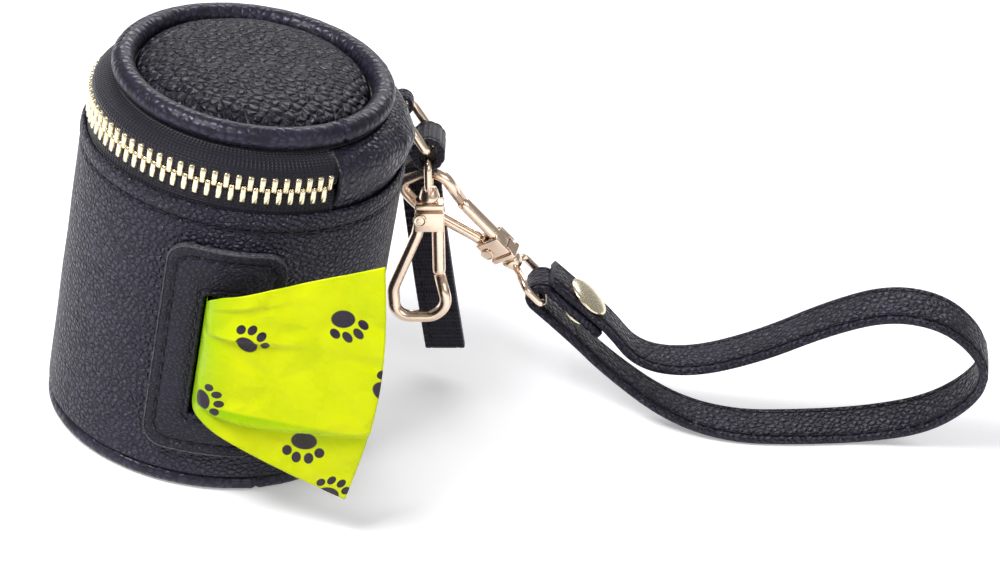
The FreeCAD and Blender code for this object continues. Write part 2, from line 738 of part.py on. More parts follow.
# Wrist strap: folded round the eye's bar, out along the floor, round its loop and back on top.
fold = mm("strap_fold")
thick = mm("strap_thick")
stack = Vector(math.cos(math.radians(mm("strap_dip"))), 0, -math.sin(math.radians(mm("strap_dip"))))
lift = Vector(-stack.z, 0, stack.x)
layer_gap = 0.2
top_layer = fold + thick + layer_gap


def stacked(reach, height):
    place = stack * reach + lift * height
    return (place.x, place.z)


floor_line = thick / 2 - mm("wrist_z")
wrist_loop = [
    # outwards, up from the floor
    (22.0, 11.7), (32.3, 10.9), (45.3, 17.1), (57.7, 25.9), (68.9, 31.6), (79.6, 31.5), (87.4, 26.6),
    (90.5, 20.1), (88.6, 11.8), (82.1, 3.8), (70.8, 0.0), (42.4, 0.0), (29.1, 2.6)]
strap_line = [stacked(-1.2, top_layer), stacked(14.5, top_layer)]
strap_line += [(across, up + floor_line) for across, up in wrist_loop]
strap_line += [stacked(20.0, -fold), stacked(-fold, -fold), stacked(-fold, fold), stacked(14.0, fold)]
strap_place = Placement(wrist_bar, strap_turn)
strap_shape = ribbon(strap_line, thick, mm("strap_width"), 14.0)

# Snap: a cap on the top layer, a socket on the layer below, and the post that joins them.
snap_turn = Rotation(Vector(0, 1, 0), mm("strap_dip"))
snap_place = strap_place.multiply(Placement(stack * mm("snap_reach"), snap_turn))
cap_foot = top_layer + thick / 2
socket_thick = 0.9
socket_foot = fold - thick / 2 - socket_thick
post = mm("snap_post")
strap_hole = Part.makeCylinder(post, cap_foot - socket_foot, Vector(0, 0, socket_foot))
strap_hole.Placement = Placement(stack * mm("snap_reach"), snap_turn)
solid("wrist_strap", strap_shape.cut(strap_hole), strap_place)
cap_radius = mm("snap_cap_radius")
cap_dome = 1.0
cap_ball = (cap_radius ** 2 + cap_dome ** 2) / (2 * cap_dome)
cap = Part.makeSphere(cap_ball, Vector(0, 0, cap_foot + cap_dome - cap_ball))
cap = cap.common(Part.makeCylinder(cap_radius, cap_dome, Vector(0, 0, cap_foot)))
solid("snap_cap", cap, snap_place)
post_foot = socket_foot + socket_thick
post_shape = Part.makeCylinder(post, cap_foot - post_foot, Vector(0, 0, post_foot))
solid("snap_post", post_shape, snap_place)
socket = Part.makeCylinder(cap_radius - 0.6, socket_thick, Vector(0, 0, socket_foot))
solid("snap_socket", socket, snap_place)

doc.recompute()
faults = [thing.Name for thing in doc.Objects if "Invalid" in thing.State or "Error" in thing.State]
for node in nodes:
    if node.Shape.isNull() or not node.Shape.isValid() or node.Shape.Volume <= 0:
        faults.append(node.Label)
if faults:
    raise RuntimeError("failed pieces: " + ", ".join(faults))

os.makedirs("parts", exist_ok=True)
for node in nodes:
    node.Shape.exportStep("parts/%s.step" % node.Label)
    extent = node.Shape.BoundBox
    span = (extent.XLength, extent.YLength, extent.ZLength)
    print(node.Label, len(node.Shape.Solids), round(node.Shape.Volume, 1), [round(value, 1) for value in span])
print(len(nodes), "nodes")
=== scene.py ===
from math import asin, atan2, cos, degrees, exp, hypot, pi, radians, sin, sqrt, tan, tanh
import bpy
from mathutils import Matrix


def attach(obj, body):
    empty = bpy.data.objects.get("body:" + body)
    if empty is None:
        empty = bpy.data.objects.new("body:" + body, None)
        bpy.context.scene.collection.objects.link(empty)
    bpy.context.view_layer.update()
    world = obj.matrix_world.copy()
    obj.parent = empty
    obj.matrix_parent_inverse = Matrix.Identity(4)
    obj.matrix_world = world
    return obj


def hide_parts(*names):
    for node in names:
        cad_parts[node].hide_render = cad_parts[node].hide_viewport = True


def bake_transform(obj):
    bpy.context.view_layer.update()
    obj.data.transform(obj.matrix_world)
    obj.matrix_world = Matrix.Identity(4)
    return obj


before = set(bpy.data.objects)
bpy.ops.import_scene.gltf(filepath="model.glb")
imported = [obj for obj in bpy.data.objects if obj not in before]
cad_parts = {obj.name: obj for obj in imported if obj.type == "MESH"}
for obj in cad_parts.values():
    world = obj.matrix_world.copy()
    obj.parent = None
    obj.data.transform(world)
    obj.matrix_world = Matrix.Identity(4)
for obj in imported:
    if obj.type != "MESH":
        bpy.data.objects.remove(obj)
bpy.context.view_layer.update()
from types import SimpleNamespace as Measures

import bmesh
import bpy
from mathutils import Matrix, Vector, noise

scene = bpy.context.scene
mm = 0.001


# mesh helpers, all in millimetres until the mesh is made
def linked(name, data):
    piece = bpy.data.objects.new(name, data)
    scene.collection.objects.link(piece)
    return piece


def tidyMesh(mesh, closeEnds):
    shell = bmesh.new()
    shell.from_mesh(mesh)
    bmesh.ops.remove_doubles(shell, verts=shell.verts, dist=1e-7)
    loose = [v for v in shell.verts if not v.link_faces]
    bmesh.ops.delete(shell, geom=loose, context="VERTS")
    if closeEnds:
        bmesh.ops.holes_fill(shell, edges=shell.edges, sides=0)
    bmesh.ops.recalc_face_normals(shell, faces=shell.faces)
    for face in shell.faces:
        face.smooth = True
    shell.to_mesh(mesh)
    shell.free()


def gridPiece(name, rows, cols, place, measure, wrapRows=False, wrapCols=False, leaveOut=None,
              closeEnds=False):
    points = [Vector(place(i, j)) * mm for i in range(rows) for j in range(cols)]
    faces, corners = [], []
    for i in range(rows if wrapRows else rows - 1):
        for j in range(cols if wrapCols else cols - 1):
            if leaveOut and leaveOut(i, j):
                continue
            ring = [(i, j), (i, j + 1), (i + 1, j + 1), (i + 1, j)]
            faces.append([(a % rows) * cols + b % cols for a, b in ring])
            corners.extend(measure(a, b) for a, b in ring)
    mesh = bpy.data.meshes.new(name)
    mesh.from_pydata(points, [], faces)
    layer = mesh.uv_layers.new(name="surface")
    for corner, uv in zip(layer.data, corners):
        corner.uv = uv
    tidyMesh(mesh, closeEnds)
    return linked(name, mesh)


def bake(piece):  # what the modifiers give becomes the plain mesh
    shape = piece.evaluated_get(bpy.context.evaluated_depsgraph_get())
    mesh = bpy.data.meshes.new_from_object(shape)
    if piece.type == "MESH":
        piece.modifiers.clear()
        piece.data = mesh
        return piece
    name = piece.name
    bpy.data.objects.remove(piece)
    return linked(name, mesh)


def thickened(piece, thick, offset=-1.0):
    wall = piece.modifiers.new("wall", "SOLIDIFY")
    wall.thickness = thick * mm
    wall.offset = offset
    wall.use_even_offset = True
    return bake(piece)


def joined(name, parts):
    whole = bmesh.new()
    for part in parts:
        whole.from_mesh(part.data)
        bpy.data.objects.remove(part)
    mesh = bpy.data.meshes.new(name)
    whole.to_mesh(mesh)
    whole.free()
    return linked(name, mesh)


def polar(radius, angle, height):
    turn = radians(angle)
    return Vector((radius * cos(turn), radius * sin(turn), height))


def runLengths(points):
    total = [0.0]
    for a, b in zip(points, points[1:]):
        total.append(total[-1] + (Vector(b) - Vector(a)).length)
    return total


def tangentsOf(path, loop=False):
    before = (path[-1:] if loop else path[:1]) + path[:-1]
    after = path[1:] + (path[:1] if loop else path[-1:])
    return [(b - a).normalized() for a, b in zip(before, after)]


def clamped(value):
    return max(0.0, min(1.0, value))


def curved(points, steps):  # a smooth line through the points
    line = [Vector(p) for p in points]
    ends = [line[0] * 2 - line[1]] + line + [line[-1] * 2 - line[-2]]
    found = []
    for a, b, c, d in zip(ends, ends[1:], ends[2:], ends[3:]):
        for step in range(steps):
            t = step / steps
            found.append(0.5 * (2 * b + (c - a) * t + (2 * a - 5 * b + 4 * c - d) * t * t
                                + (3 * b - a - 3 * c + d) * t ** 3))
    return found + [line[-1]]


def bentLine(corners, bend, steps):  # straight runs with rounded bends
    line = [Vector(p) for p in corners]
    found = [line[0]]
    for before, corner, after in zip(line, line[1:], line[2:]):
        ahead = (corner - before).normalized()
        onward = (after - corner).normalized()
        turn = ahead.angle(onward)
        room = 0.48 * min((corner - before).length, (after - corner).length)  # two bends may share a run
        reach = min(bend * tan(turn / 2), room)
        handle = 4 / 3 * tan(turn / 4) * reach / tan(turn / 2)
        enter = corner - ahead * reach
        leave = corner + onward * reach
        for step in range(steps + 1):
            t = step / steps
            found.append(enter * (1 - t) ** 3 + (enter + ahead * handle) * 3 * t * (1 - t) ** 2
                         + (leave - onward * handle) * 3 * t * t * (1 - t) + leave * t ** 3)
    return found + [line[-1]]


def lathe(name, profile, segments=180, start=0.0, sweep=360.0, shape=None):
    whole = sweep >= 360
    cols = segments if whole else segments + 1
    lengths = runLengths(profile + profile[:1])
    mean = max(r for r, z in profile)

    def place(i, j):
        angle = start + sweep * j / segments
        r, z = profile[i]
        return shape(r, z, angle) if shape else polar(r, angle, z)

    def measure(i, j):
        return radians(sweep * j / segments) * mean, lengths[i]

    return gridPiece(name, len(profile), cols, place, measure, wrapRows=True, wrapCols=whole,
                     closeEnds=not whole)


def sweptFrames(path):  # side and up at each point, carried along without a twist
    tangents = tangentsOf(path)
    side = tangents[0].orthogonal().normalized()
    frames = []
    for tangent in tangents:
        side = (side - tangent * side.dot(tangent)).normalized()
        frames.append((side, tangent.cross(side)))
    return frames


def wire(name, path, radius, sides=20):  # one radius, or a list with one for each point
    frames = sweptFrames(path)
    lengths = runLengths(path)
    radii = radius if isinstance(radius, list) else [radius] * len(path)

    def place(i, j):
        turn = 2 * pi * j / sides
        side, up = frames[i]
        return path[i] + (side * cos(turn) + up * sin(turn)) * radii[i]

    return gridPiece(name, len(path), sides, place, lambda i, j: (lengths[i], radii[0] * 6.3 * j / sides),
                     wrapCols=True, closeEnds=True)


def strapSection(width, thick, edge, inset=None, dent=0.0, pad=0.0):  # dent is the seam at the inset
    half = width / 2
    steps = 44
    top = []
    for step in range(steps + 1):
        across = -half + width * step / steps
        out = thick / 2
        rim = half - abs(across)
        if rim < edge:
            out -= edge * (1 - sqrt(max(0.0, 1 - (1 - rim / edge) ** 2)))
        if inset is not None:
            out -= dent * exp(-((rim - inset) / 0.24) ** 2)
        if pad:
            middle = max(0.0, 1 - (across / (half - inset)) ** 2)
            out += pad * sqrt(middle) - (pad if rim < inset else 0)
        top.append((across, out))
    return top + [(across, -out) for across, out in reversed(top)]


def strap(name, centres, wides, section, ripple=None, closedLoop=False):
    lengths = runLengths(centres + centres[:1])
    around = runLengths(section + section[:1])
    tangents = tangentsOf(centres, closedLoop)

    def place(i, j):
        across, out = section[j]
        if ripple:
            out *= ripple(lengths[i])
        normal = tangents[i].cross(wides[i]).normalized()
        return centres[i] + wides[i] * across + normal * out

    return gridPiece(name, len(centres), len(section), place, lambda i, j: (lengths[i], around[j]),
                     wrapCols=True, wrapRows=closedLoop, closeEnds=not closedLoop)


def roundedBox(low, high, bevel):
    shell = bmesh.new()
    bmesh.ops.create_cube(shell, size=1)
    span = [b - a for a, b in zip(low, high)]
    for v in shell.verts:
        v.co = Vector([(a + s * (c + 0.5)) * mm for a, s, c in zip(low, span, v.co)])
    bmesh.ops.bevel(shell, geom=shell.edges[:], offset=bevel * mm, segments=3, affect="EDGES", profile=0.5)
    for face in shell.faces:
        face.smooth = True
    mesh = bpy.data.meshes.new("block")
    shell.to_mesh(mesh)
    shell.free()
    mesh.uv_layers.new(name="surface")
    return linked("block", mesh)


def placed(piece, matrix):  # a matrix in millimetres
    shift = matrix.copy()
    shift.translation = matrix.translation * mm
    piece.data.transform(shift)
    return piece


# material helpers
def addNode(tree, kind, inputs=None, **settings):
    made = tree.nodes.new(kind)
    for key, value in settings.items():
        setattr(made, key, value)
    for key, value in (inputs or {}).items():
        if isinstance(value, bpy.types.NodeSocket):
            tree.links.new(value, made.inputs[key])
        else:
            made.inputs[key].default_value = value
    return made


def newMaterial(name, fixed):  # fixed holds the shader's constant sockets
    finish = bpy.data.materials.new(name)
    finish.use_nodes = True
    tree = finish.node_tree
    tree.nodes.clear()
    surface = addNode(tree, "ShaderNodeBsdfPrincipled", fixed)
    output = addNode(tree, "ShaderNodeOutputMaterial", {"Surface": surface.outputs[0]})
    output.is_active_output = True
    return finish, tree, surface


def coords(tree, scale, turn=0.0, byObject=False):  # the piece's own UV map, or its place in the frame
    if byObject:
        source = addNode(tree, "ShaderNodeTexCoord").outputs["Object"]
        scale = [s / mm for s in scale]
    else:
        source = addNode(tree, "ShaderNodeUVMap", uv_map="surface").outputs[0]
    inputs = {"Vector": source, "Scale": scale, "Rotation": (0, 0, turn)}
    return addNode(tree, "ShaderNodeMapping", inputs).outputs[0]


def ranged(tree, value, low, high, start=0.0, stop=1.0):
    return addNode(tree, "ShaderNodeMapRange", {"Value": value, "From Min": start, "From Max": stop,
                                                "To Min": low, "To Max": high}).outputs[0]


def eased(tree, value, stop):  # a soft rise from 0 to 1
    return addNode(tree, "ShaderNodeMapRange", {"Value": value, "From Min": 0.0, "From Max": stop},
                   interpolation_type="SMOOTHSTEP").outputs[0]


def mixed(tree, share, a, b):
    return addNode(tree, "ShaderNodeMix", {0: share, 6: a, 7: b}, data_type="RGBA").outputs[2]


def maths(tree, how, a, b):
    return addNode(tree, "ShaderNodeMath", {0: a, 1: b}, operation=how).outputs[0]


def vectorMaths(tree, how, a, b):
    return addNode(tree, "ShaderNodeVectorMath", {0: a, 1: b}, operation=how).outputs[0]


def clouds(tree, place, scale, detail, output="Fac", distortion=0.0):
    inputs = {"Vector": place, "Scale": scale, "Detail": detail, "Distortion": distortion}
    return addNode(tree, "ShaderNodeTexNoise", inputs).outputs[output]


def cells(tree, place, scale, scatter, feature):
    inputs = {"Vector": place, "Scale": scale, "Randomness": scatter}
    return addNode(tree, "ShaderNodeTexVoronoi", inputs, feature=feature).outputs["Distance"]


def surfaced(tree, surface, base, rough, strength, depth, height):
    bump = addNode(tree, "ShaderNodeBump", {"Strength": strength, "Distance": depth * mm, "Height": height})
    for label, value in (("Base Color", base), ("Roughness", rough), ("Normal", bump.outputs[0])):
        tree.links.new(value, surface.inputs[label])


def shaded(colour, share):
    return (colour[0] * share, colour[1] * share, colour[2] * share, 1.0)


def leatherFinish(name, colour, pebble, turn, depth, rough):  # pebbled grain with pores and worn patches
    finish, tree, surface = newMaterial(name, {"Specular IOR Level": 0.42,
                                               "Specular Tint": (0.9, 0.88, 1.0, 1.0)})
    cell = coords(tree, (1 / pebble[0], 1 / pebble[1], 1 / pebble[0]), turn)
    drift = clouds(tree, cell, 0.8, 2.0, "Color")
    cell = vectorMaths(tree, "ADD", cell, vectorMaths(tree, "MULTIPLY", drift, (0.4, 0.4, 0.4)))
    hump = eased(tree, cells(tree, cell, 1.0, 0.8, "DISTANCE_TO_EDGE"), 0.3)
    away = cells(tree, cell, 1.0, 0.8, "F1")
    fine = cells(tree, cell, 2.7, 1.0, "SMOOTH_F1")
    pores = clouds(tree, cell, 7.0, 4.0)
    height = maths(tree, "SUBTRACT", maths(tree, "ADD", hump, maths(tree, "MULTIPLY", pores, 0.12)), away)
    height = maths(tree, "SUBTRACT", height, maths(tree, "MULTIPLY", fine, 0.22))
    wear = clouds(tree, cell, 0.09, 3.0)
    # painted shade: the grooves between the pebbles are darker and the pebble tops lighter
    base = mixed(tree, hump, shaded(colour, 0.25), shaded(colour, 1.15))
    base = mixed(tree, ranged(tree, wear, 0.0, 0.5, 0.5, 0.8), base, shaded(colour, 1.7))
    surfaced(tree, surface, base, ranged(tree, hump, rough + 0.2, rough), 1.0, depth, height)
    return finish


def wovenFinish(name, colour, pitch, depth, rough=0.75, byObject=False):
    finish, tree, surface = newMaterial(name, {"Specular IOR Level": 0.25, "Sheen Weight": 0.25,
                                               "Sheen Roughness": 0.4})
    weave = coords(tree, (1 / pitch[0], 1 / pitch[1], 1 / pitch[0]), 0.0, byObject)
    yarn = {"Vector": weave, "Scale": 0.5, "Distortion": 0.6, "Detail": 1.0}
    warp, weft = (addNode(tree, "ShaderNodeTexWave", yarn, bands_direction=way).outputs["Fac"]
                  for way in "XY")
    cloth = maths(tree, "MAXIMUM", warp, weft)
    lint = clouds(tree, weave, 0.6, 5.0)
    base = mixed(tree, cloth, shaded(colour, 0.45), shaded(colour, 1.15))
    base = mixed(tree, ranged(tree, lint, 0.0, 0.45, 0.5, 0.8), base, shaded(colour, 1.8))
    surfaced(tree, surface, base, ranged(tree, lint, rough - 0.08, rough + 0.1), 0.7, depth, cloth)
    return finish


def metalFinish(name, colour, rough):
    finish, tree, surface = newMaterial(name, {"Metallic": 1.0})
    place = coords(tree, (1, 1, 1), 0.0, True)
    cloud = clouds(tree, place, 0.5, 3.0)
    rub = clouds(tree, place, 4.0, 4.0)
    base = mixed(tree, ranged(tree, cloud, 0.0, 1.0, 0.3, 0.7), shaded(colour, 0.93), shaded(colour, 1.04))
    surfaced(tree, surface, base, ranged(tree, rub, rough * 0.75, rough * 1.4, 0.3, 0.7), 0.12, 0.02, rub)
    return finish


def plainFinish(name, colour, rough):  # card and board
    finish, tree, surface = newMaterial(name, {"Specular IOR Level": 0.3})
    fibre = clouds(tree, coords(tree, (1.5, 1.5, 1.5), 0.0, True), 1.0, 6.0)
    base = mixed(tree, fibre, shaded(colour, 0.75), shaded(colour, 1.2))
    surfaced(tree, surface, base, ranged(tree, fibre, rough - 0.1, rough + 0.08), 0.4, 0.06, fibre)
    return finish


black = (0.015, 0.0126, 0.0262)
# leather: colour, pebble size, turn, depth and roughness
# the wall's copy of the black leather is lighter and the lid's darker: painted light and shade that even out
# how the lamps fall on side and top
wallLeather = leatherFinish("wallLeather", shaded(black, 1.4), (1.2, 0.95), 0.4, 0.34, 0.32)
patchLeather = leatherFinish("patchLeather", shaded(black, 0.9), (0.9, 0.75), 0.2, 0.1, 0.4)
# the slot rim's leather is a lighter grey: a raw cut edge, and a painted highlight where that edge catches
# light
edgeLeather = leatherFinish("edgeLeather", (0.1, 0.095, 0.108), (1.4, 0.5), 0.0, 0.06, 0.4)
lidLeather = leatherFinish("lidLeather", shaded(black, 0.6), (1.7, 1.45), 0.3, 0.4, 0.32)
cordLeather = leatherFinish("cordLeather", shaded(black, 1.25), (1.7, 2.2), 0.0, 0.07, 0.28)
hingeGrain = leatherFinish("hingeGrain", shaded(black, 1.2), (1.4, 1.6), 0.0, 0.14, 0.28)
strapLeather = leatherFinish("strapLeather", shaded(black, 1.1), (1.3, 1.05), 0.5, 0.34, 0.34)
# cloth and thread: colour, pitch, depth and roughness
threadFinish = wovenFinish("blackThread", shaded(black, 0.28), (0.18, 0.3), 0.03, 0.5, True)
tapeCloth = wovenFinish("zipTape", shaded(black, 0.55), (1.3, 1.0), 0.24, 0.5)
webCloth = wovenFinish("ribbedWebbing", shaded(black, 0.8), (1.4, 0.9), 0.24, 0.45)
liningCloth = wovenFinish("liningCloth", (0.05, 0.05, 0.056), (0.4, 0.4), 0.06)
roseGold = metalFinish("roseGold", (0.96, 0.76, 0.6), 0.2)
paleGold = metalFinish("paleGold", (0.94, 0.83, 0.6), 0.22)
springSteel = metalFinish("springSteel", (0.6, 0.6, 0.62), 0.25)
greyBoard = plainFinish("greyBoard", (0.3, 0.28, 0.25), 0.8)
brownCard = plainFinish("brownCard", (0.5, 0.36, 0.22), 0.85)
print("finishes made")


def dressed(piece, finish, body, slot, *nodes):
    piece.data.materials.clear()
    piece.data.materials.append(finish)
    if body:
        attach(piece, body)
    if nodes:
        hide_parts(*nodes)
    return piece


# geometry node trees: thread stitches and zip teeth
def nodeTree(name, kind, output, inputs):  # each socket is its label and type
    tree = bpy.data.node_groups.new(name, kind)
    for way, sockets in (("INPUT", inputs), ("OUTPUT", output)):
        for label, holds in sockets.items():
            tree.interface.new_socket(label, in_out=way, socket_type="NodeSocket" + holds)
    return tree, addNode(tree, "NodeGroupInput").outputs


def closeTree(tree, instances, material):
    real = addNode(tree, "GeometryNodeRealizeInstances", {"Geometry": instances})
    smooth = addNode(tree, "GeometryNodeSetShadeSmooth", {"Geometry": real.outputs[0]})
    painted = addNode(tree, "GeometryNodeSetMaterial", {"Geometry": smooth.outputs[0], "Material": material})
    addNode(tree, "NodeGroupOutput", {"Geometry": painted.outputs[0]})


def stitchTree():
    tree, given = nodeTree("threadStitches", "GeometryNodeTree", {"Geometry": "Geometry"}, {
        "Geometry": "Geometry", "stitchLength": "Float", "stitchGap": "Float", "threadRadius": "Float",
        "thread": "Material"})
    length, thin = given["stitchLength"], given["threadRadius"]
    pitch = maths(tree, "ADD", length, given["stitchGap"])
    places = addNode(tree, "GeometryNodeCurveToPoints", {"Curve": given["Geometry"], "Length": pitch},
                     mode="LENGTH")
    bead = addNode(tree, "GeometryNodeMeshUVSphere", {"Segments": 8, "Rings": 6, "Radius": 1.0})
    along = addNode(tree, "FunctionNodeAlignRotationToVector", {"Vector": places.outputs["Tangent"]},
                    axis="Z")
    half = maths(tree, "MULTIPLY", length, 0.5)
    size = addNode(tree, "ShaderNodeCombineXYZ", {"X": thin, "Y": thin, "Z": half})
    sewn = addNode(tree, "GeometryNodeInstanceOnPoints", {
        "Points": places.outputs["Points"], "Instance": bead.outputs["Mesh"],
        "Rotation": along.outputs[0], "Scale": size.outputs[0]})
    closeTree(tree, sewn.outputs[0], given["thread"])
    return tree


def toothTree():
    tree, given = nodeTree("zipTeeth", "GeometryNodeTree", {"Geometry": "Geometry"}, {
        "Geometry": "Geometry", "toothCount": "Int", "tooth": "Object", "metal": "Material"})
    places = addNode(tree, "GeometryNodeCurveToPoints", {"Curve": given["Geometry"],
                                                         "Count": given["toothCount"]}, mode="COUNT")
    where = addNode(tree, "ShaderNodeSeparateXYZ", {0: addNode(tree, "GeometryNodeInputPosition").outputs[0]})
    angle = maths(tree, "ARCTAN2", where.outputs["Y"], where.outputs["X"])
    turn = addNode(tree, "ShaderNodeCombineXYZ", {"Z": angle})
    facing = addNode(tree, "FunctionNodeEulerToRotation", {0: turn.outputs[0]})
    shape = addNode(tree, "GeometryNodeObjectInfo", {"Object": given["tooth"]})
    row = addNode(tree, "GeometryNodeInstanceOnPoints", {
        "Points": places.outputs["Points"], "Instance": shape.outputs["Geometry"],
        "Rotation": facing.outputs[0]})
    closeTree(tree, row.outputs[0], given["metal"])
    return tree


sewing = stitchTree()
zipping = toothTree()


def curveGuide(name, kind, lines):
    curve = bpy.data.curves.new(name, "CURVE")
    curve.dimensions = "3D"
    for points, loop in lines:
        spline = curve.splines.new(kind)
        spline.points.add(len(points) - 1)
        for place, point in zip(spline.points, points):
            place.co = (*point, 1)
        spline.use_cyclic_u = loop
    return linked(name, curve)


def treeRun(name, lines, tree, values):
    guide = curveGuide(name, "POLY", [([Vector(p) * mm for p in points], loop) for points, loop in lines])
    modifier = guide.modifiers.new("repeat", "NODES")
    modifier.node_group = tree
    for item in tree.interface.items_tree:
        if item.name in values:
            modifier[item.identifier] = values[item.name]
    return bake(guide)


def stitched(name, lines, body, slot, length, gap, radius):
    piece = treeRun(name, lines, sewing, {"stitchLength": length * mm, "stitchGap": gap * mm,
                                          "threadRadius": radius * mm, "thread": threadFinish})
    return dressed(piece, threadFinish, body, slot)


# carrier body; each stitch is its length, gap and thread radius
carrier = Measures(radius=31.0, foot=3.2, hem=61.1, thick=1.0, sag=0.12, hemRadius=30.8, hemStitch=57.3,
                   stitch=(1.9, 0.8, 0.22), slot=(-2.7, 3.7, 17.1, 43.3), slotSpare=0.5,
                   liningRadius=29.15, liningSpare=0.1, liningThick=0.4)
slotFoot, slotTop = carrier.slot[2:]


def wallAngle(x):
    return -90 + degrees(asin(x / carrier.radius))


def softened(point, swell, grain):
    lump = noise.noise(point * grain)
    flat = Vector((point.x, point.y, 0))
    return point + flat.normalized() * lump * swell if flat.length > 1e-6 else point


def wallPiece(name, profile, spare, thick):  # a tube with the slot left open
    left, right, low, high = carrier.slot
    edges = [wallAngle(left - spare), wallAngle(right + spare)]
    angles = sorted({round(-180 + 2 * step, 4) for step in range(180)} | {round(a, 4) for a in edges})
    heights = [z for r, z in profile]

    def place(i, j):
        r, z = profile[i]
        return softened(polar(r, angles[j], z), carrier.sag, 0.09)

    def measure(i, j):
        turn = angles[j % len(angles)] + (360 if j >= len(angles) else 0)
        return radians(turn) * carrier.radius, heights[i]

    def leaveOut(i, j):
        middle = (angles[j] + (angles[j + 1] if j + 1 < len(angles) else 180)) / 2
        up = (heights[i] + heights[i + 1]) / 2
        return edges[0] < middle < edges[1] and low - spare < up < high + spare

    piece = gridPiece(name, len(profile), len(angles), place, measure, wrapCols=True, leaveOut=leaveOut)
    return thickened(piece, thick)


spare = carrier.slotSpare
wallProfile = [(30.5, carrier.foot), (30.8, 3.5), (30.95, 4.1), (31.0, 5.0)]
wallProfile += [(carrier.radius, z) for z in (
    7, 9, 11, 13, 15, slotFoot - spare, 20, 24, 28, 32, 36, 40, slotTop + spare, 46, 49, 52, 54.5, 56.2)]
wallProfile += [(30.9, 56.8), (30.6, 57.15), (30.58, 57.4), (30.95, 57.75), (31.16, 58.3), (31.22, 59.2),
                (31.16, 60.2), (30.95, 60.8), (30.6, carrier.hem)]  # a groove and the folded hem above it
wall = wallPiece("carrier_wall", wallProfile, spare, carrier.thick)
dressed(wall, wallLeather, "carrier", "leather", "body_wall")

inside, near = carrier.liningRadius, carrier.liningSpare
liningProfile = [(inside, z) for z in (3.4, 8, 12, slotFoot - near, 24, 32, 38, slotTop + near, 48, 54, 59)]
liningProfile += [(29.2, 59.8), (inside, 60.0)]
liningSide = wallPiece("lining_side", liningProfile, near, carrier.liningThick)
floorProfile = [
    (0, 2.3), (27.2, 2.3), (28.4, 2.7), (29.0, 3.5), (28.7, 3.6), (28.1, 3.0), (27.0, 2.65), (0, 2.6)]
lining = joined("carrier_lining", [liningSide, lathe("lining_floor", floorProfile)])
dressed(lining, liningCloth, "carrier", "lining", "body_lining")

# slot patch: rings that run from the outer edge over the face and down into the slot
patch = Measures(outline=(-10.6, 11.6, 9.0, 53.0), corner=4.0, slotCorner=0.7, perSide=30, sag=0.06)


def roundRect(left, right, low, high, corner):
    middles = [(right - corner, low + corner, -45), (right - corner, high - corner, 45),
               (left + corner, high - corner, 135), (left + corner, low + corner, 225)]
    arc = patch.perSide // 4
    run = patch.perSide - 2 * arc

    def onCorner(x, z, angle):
        turn = radians(angle)
        return x + corner * cos(turn), z + corner * sin(turn)

    found = []
    for (x, z, turn), (nextX, nextZ, _) in zip(middles, middles[1:] + middles[:1]):
        first, last = Vector(onCorner(x, z, turn + 45)), Vector(onCorner(nextX, nextZ, turn + 45))
        found += [onCorner(x, z, turn + 45 * step / arc) for step in range(arc)]
        found += [tuple(first.lerp(last, step / run)) for step in range(run)]
        found += [onCorner(nextX, nextZ, turn + 45 + 45 * step / arc) for step in range(arc)]
    return found


outerRing = roundRect(*patch.outline, patch.corner)
innerRing = roundRect(*carrier.slot, patch.slotCorner)
# each row is the share of the way to the slot and the lift off the wall
patchRows = [
    (0, 0.0), (0, 0.85), (0.012, 1.2), (0.045, 1.4), (0.09, 1.42), (0.15, 1.28), (0.2, 1.05), (0.235, 0.85),
    (0.27, 1.05), (0.31, 1.22), (0.45, 1.26), (0.65, 1.26), (0.82, 1.22), (0.85, 1.05), (0.87, 0.95),
    (0.89, 1.05), (0.925, 1.2), (0.965, 1.14), (0.99, 0.95), (1.0, 0.7), (1.0, -1.9), (0.97, -1.9),
    (0.97, 0.0)]
rimRows = [
    (0.02, 0.0), (-0.01, 0.0), (-0.02, 0.5), (-0.02, 1.0), (-0.008, 1.36), (0.012, 1.5), (0.03, 1.46),
    (0.03, 0.9)]


def ringSpot(share, j):
    (a, b), (c, d) = outerRing[j % len(outerRing)], innerRing[j % len(innerRing)]
    return a + (c - a) * share, b + (d - b) * share


def onWall(across, up, lift):
    return polar(carrier.radius + lift, -90 + degrees(across / carrier.radius), up)


def ringPiece(name, rows, measure):
    def place(i, j):
        share, lift = rows[i]
        return softened(onWall(*ringSpot(share, j), lift), patch.sag, 0.12)

    return gridPiece(name, len(rows), len(outerRing), place, measure, wrapRows=True, wrapCols=True)


# the slot's rim in the lighter edge leather: its raw cut edge, lightened further as a painted highlight
slotRim = ringPiece("slot_rim", rimRows, lambda i, j: (j * 1.2, i * 0.4))
dressed(slotRim, edgeLeather, "carrier", "leather")
slotPatch = ringPiece("slot_frame", patchRows, lambda i, j: ringSpot(patchRows[i % len(patchRows)][0], j))
dressed(slotPatch, patchLeather, "carrier", "leather", "slot_patch")

hemLine = [polar(carrier.hemRadius, angle, carrier.hemStitch) for angle in range(0, 360, 2)]
patchLines = [[onWall(*ringSpot(share, j), lift) for j in range(len(outerRing))]
              for share, lift in ((0.235, 1.06), (0.87, 1.1))]
seams = [(line, True) for line in (hemLine, *patchLines)]
stitched("carrier_stitches", seams, "carrier", "leather", *carrier.stitch)

# base: leather disc and the piped edge, with the joint of the cord at the front
base = Measures(ring=29.15, cord=1.62, height=1.66, jointAngle=-66.0, ripple=0.03)


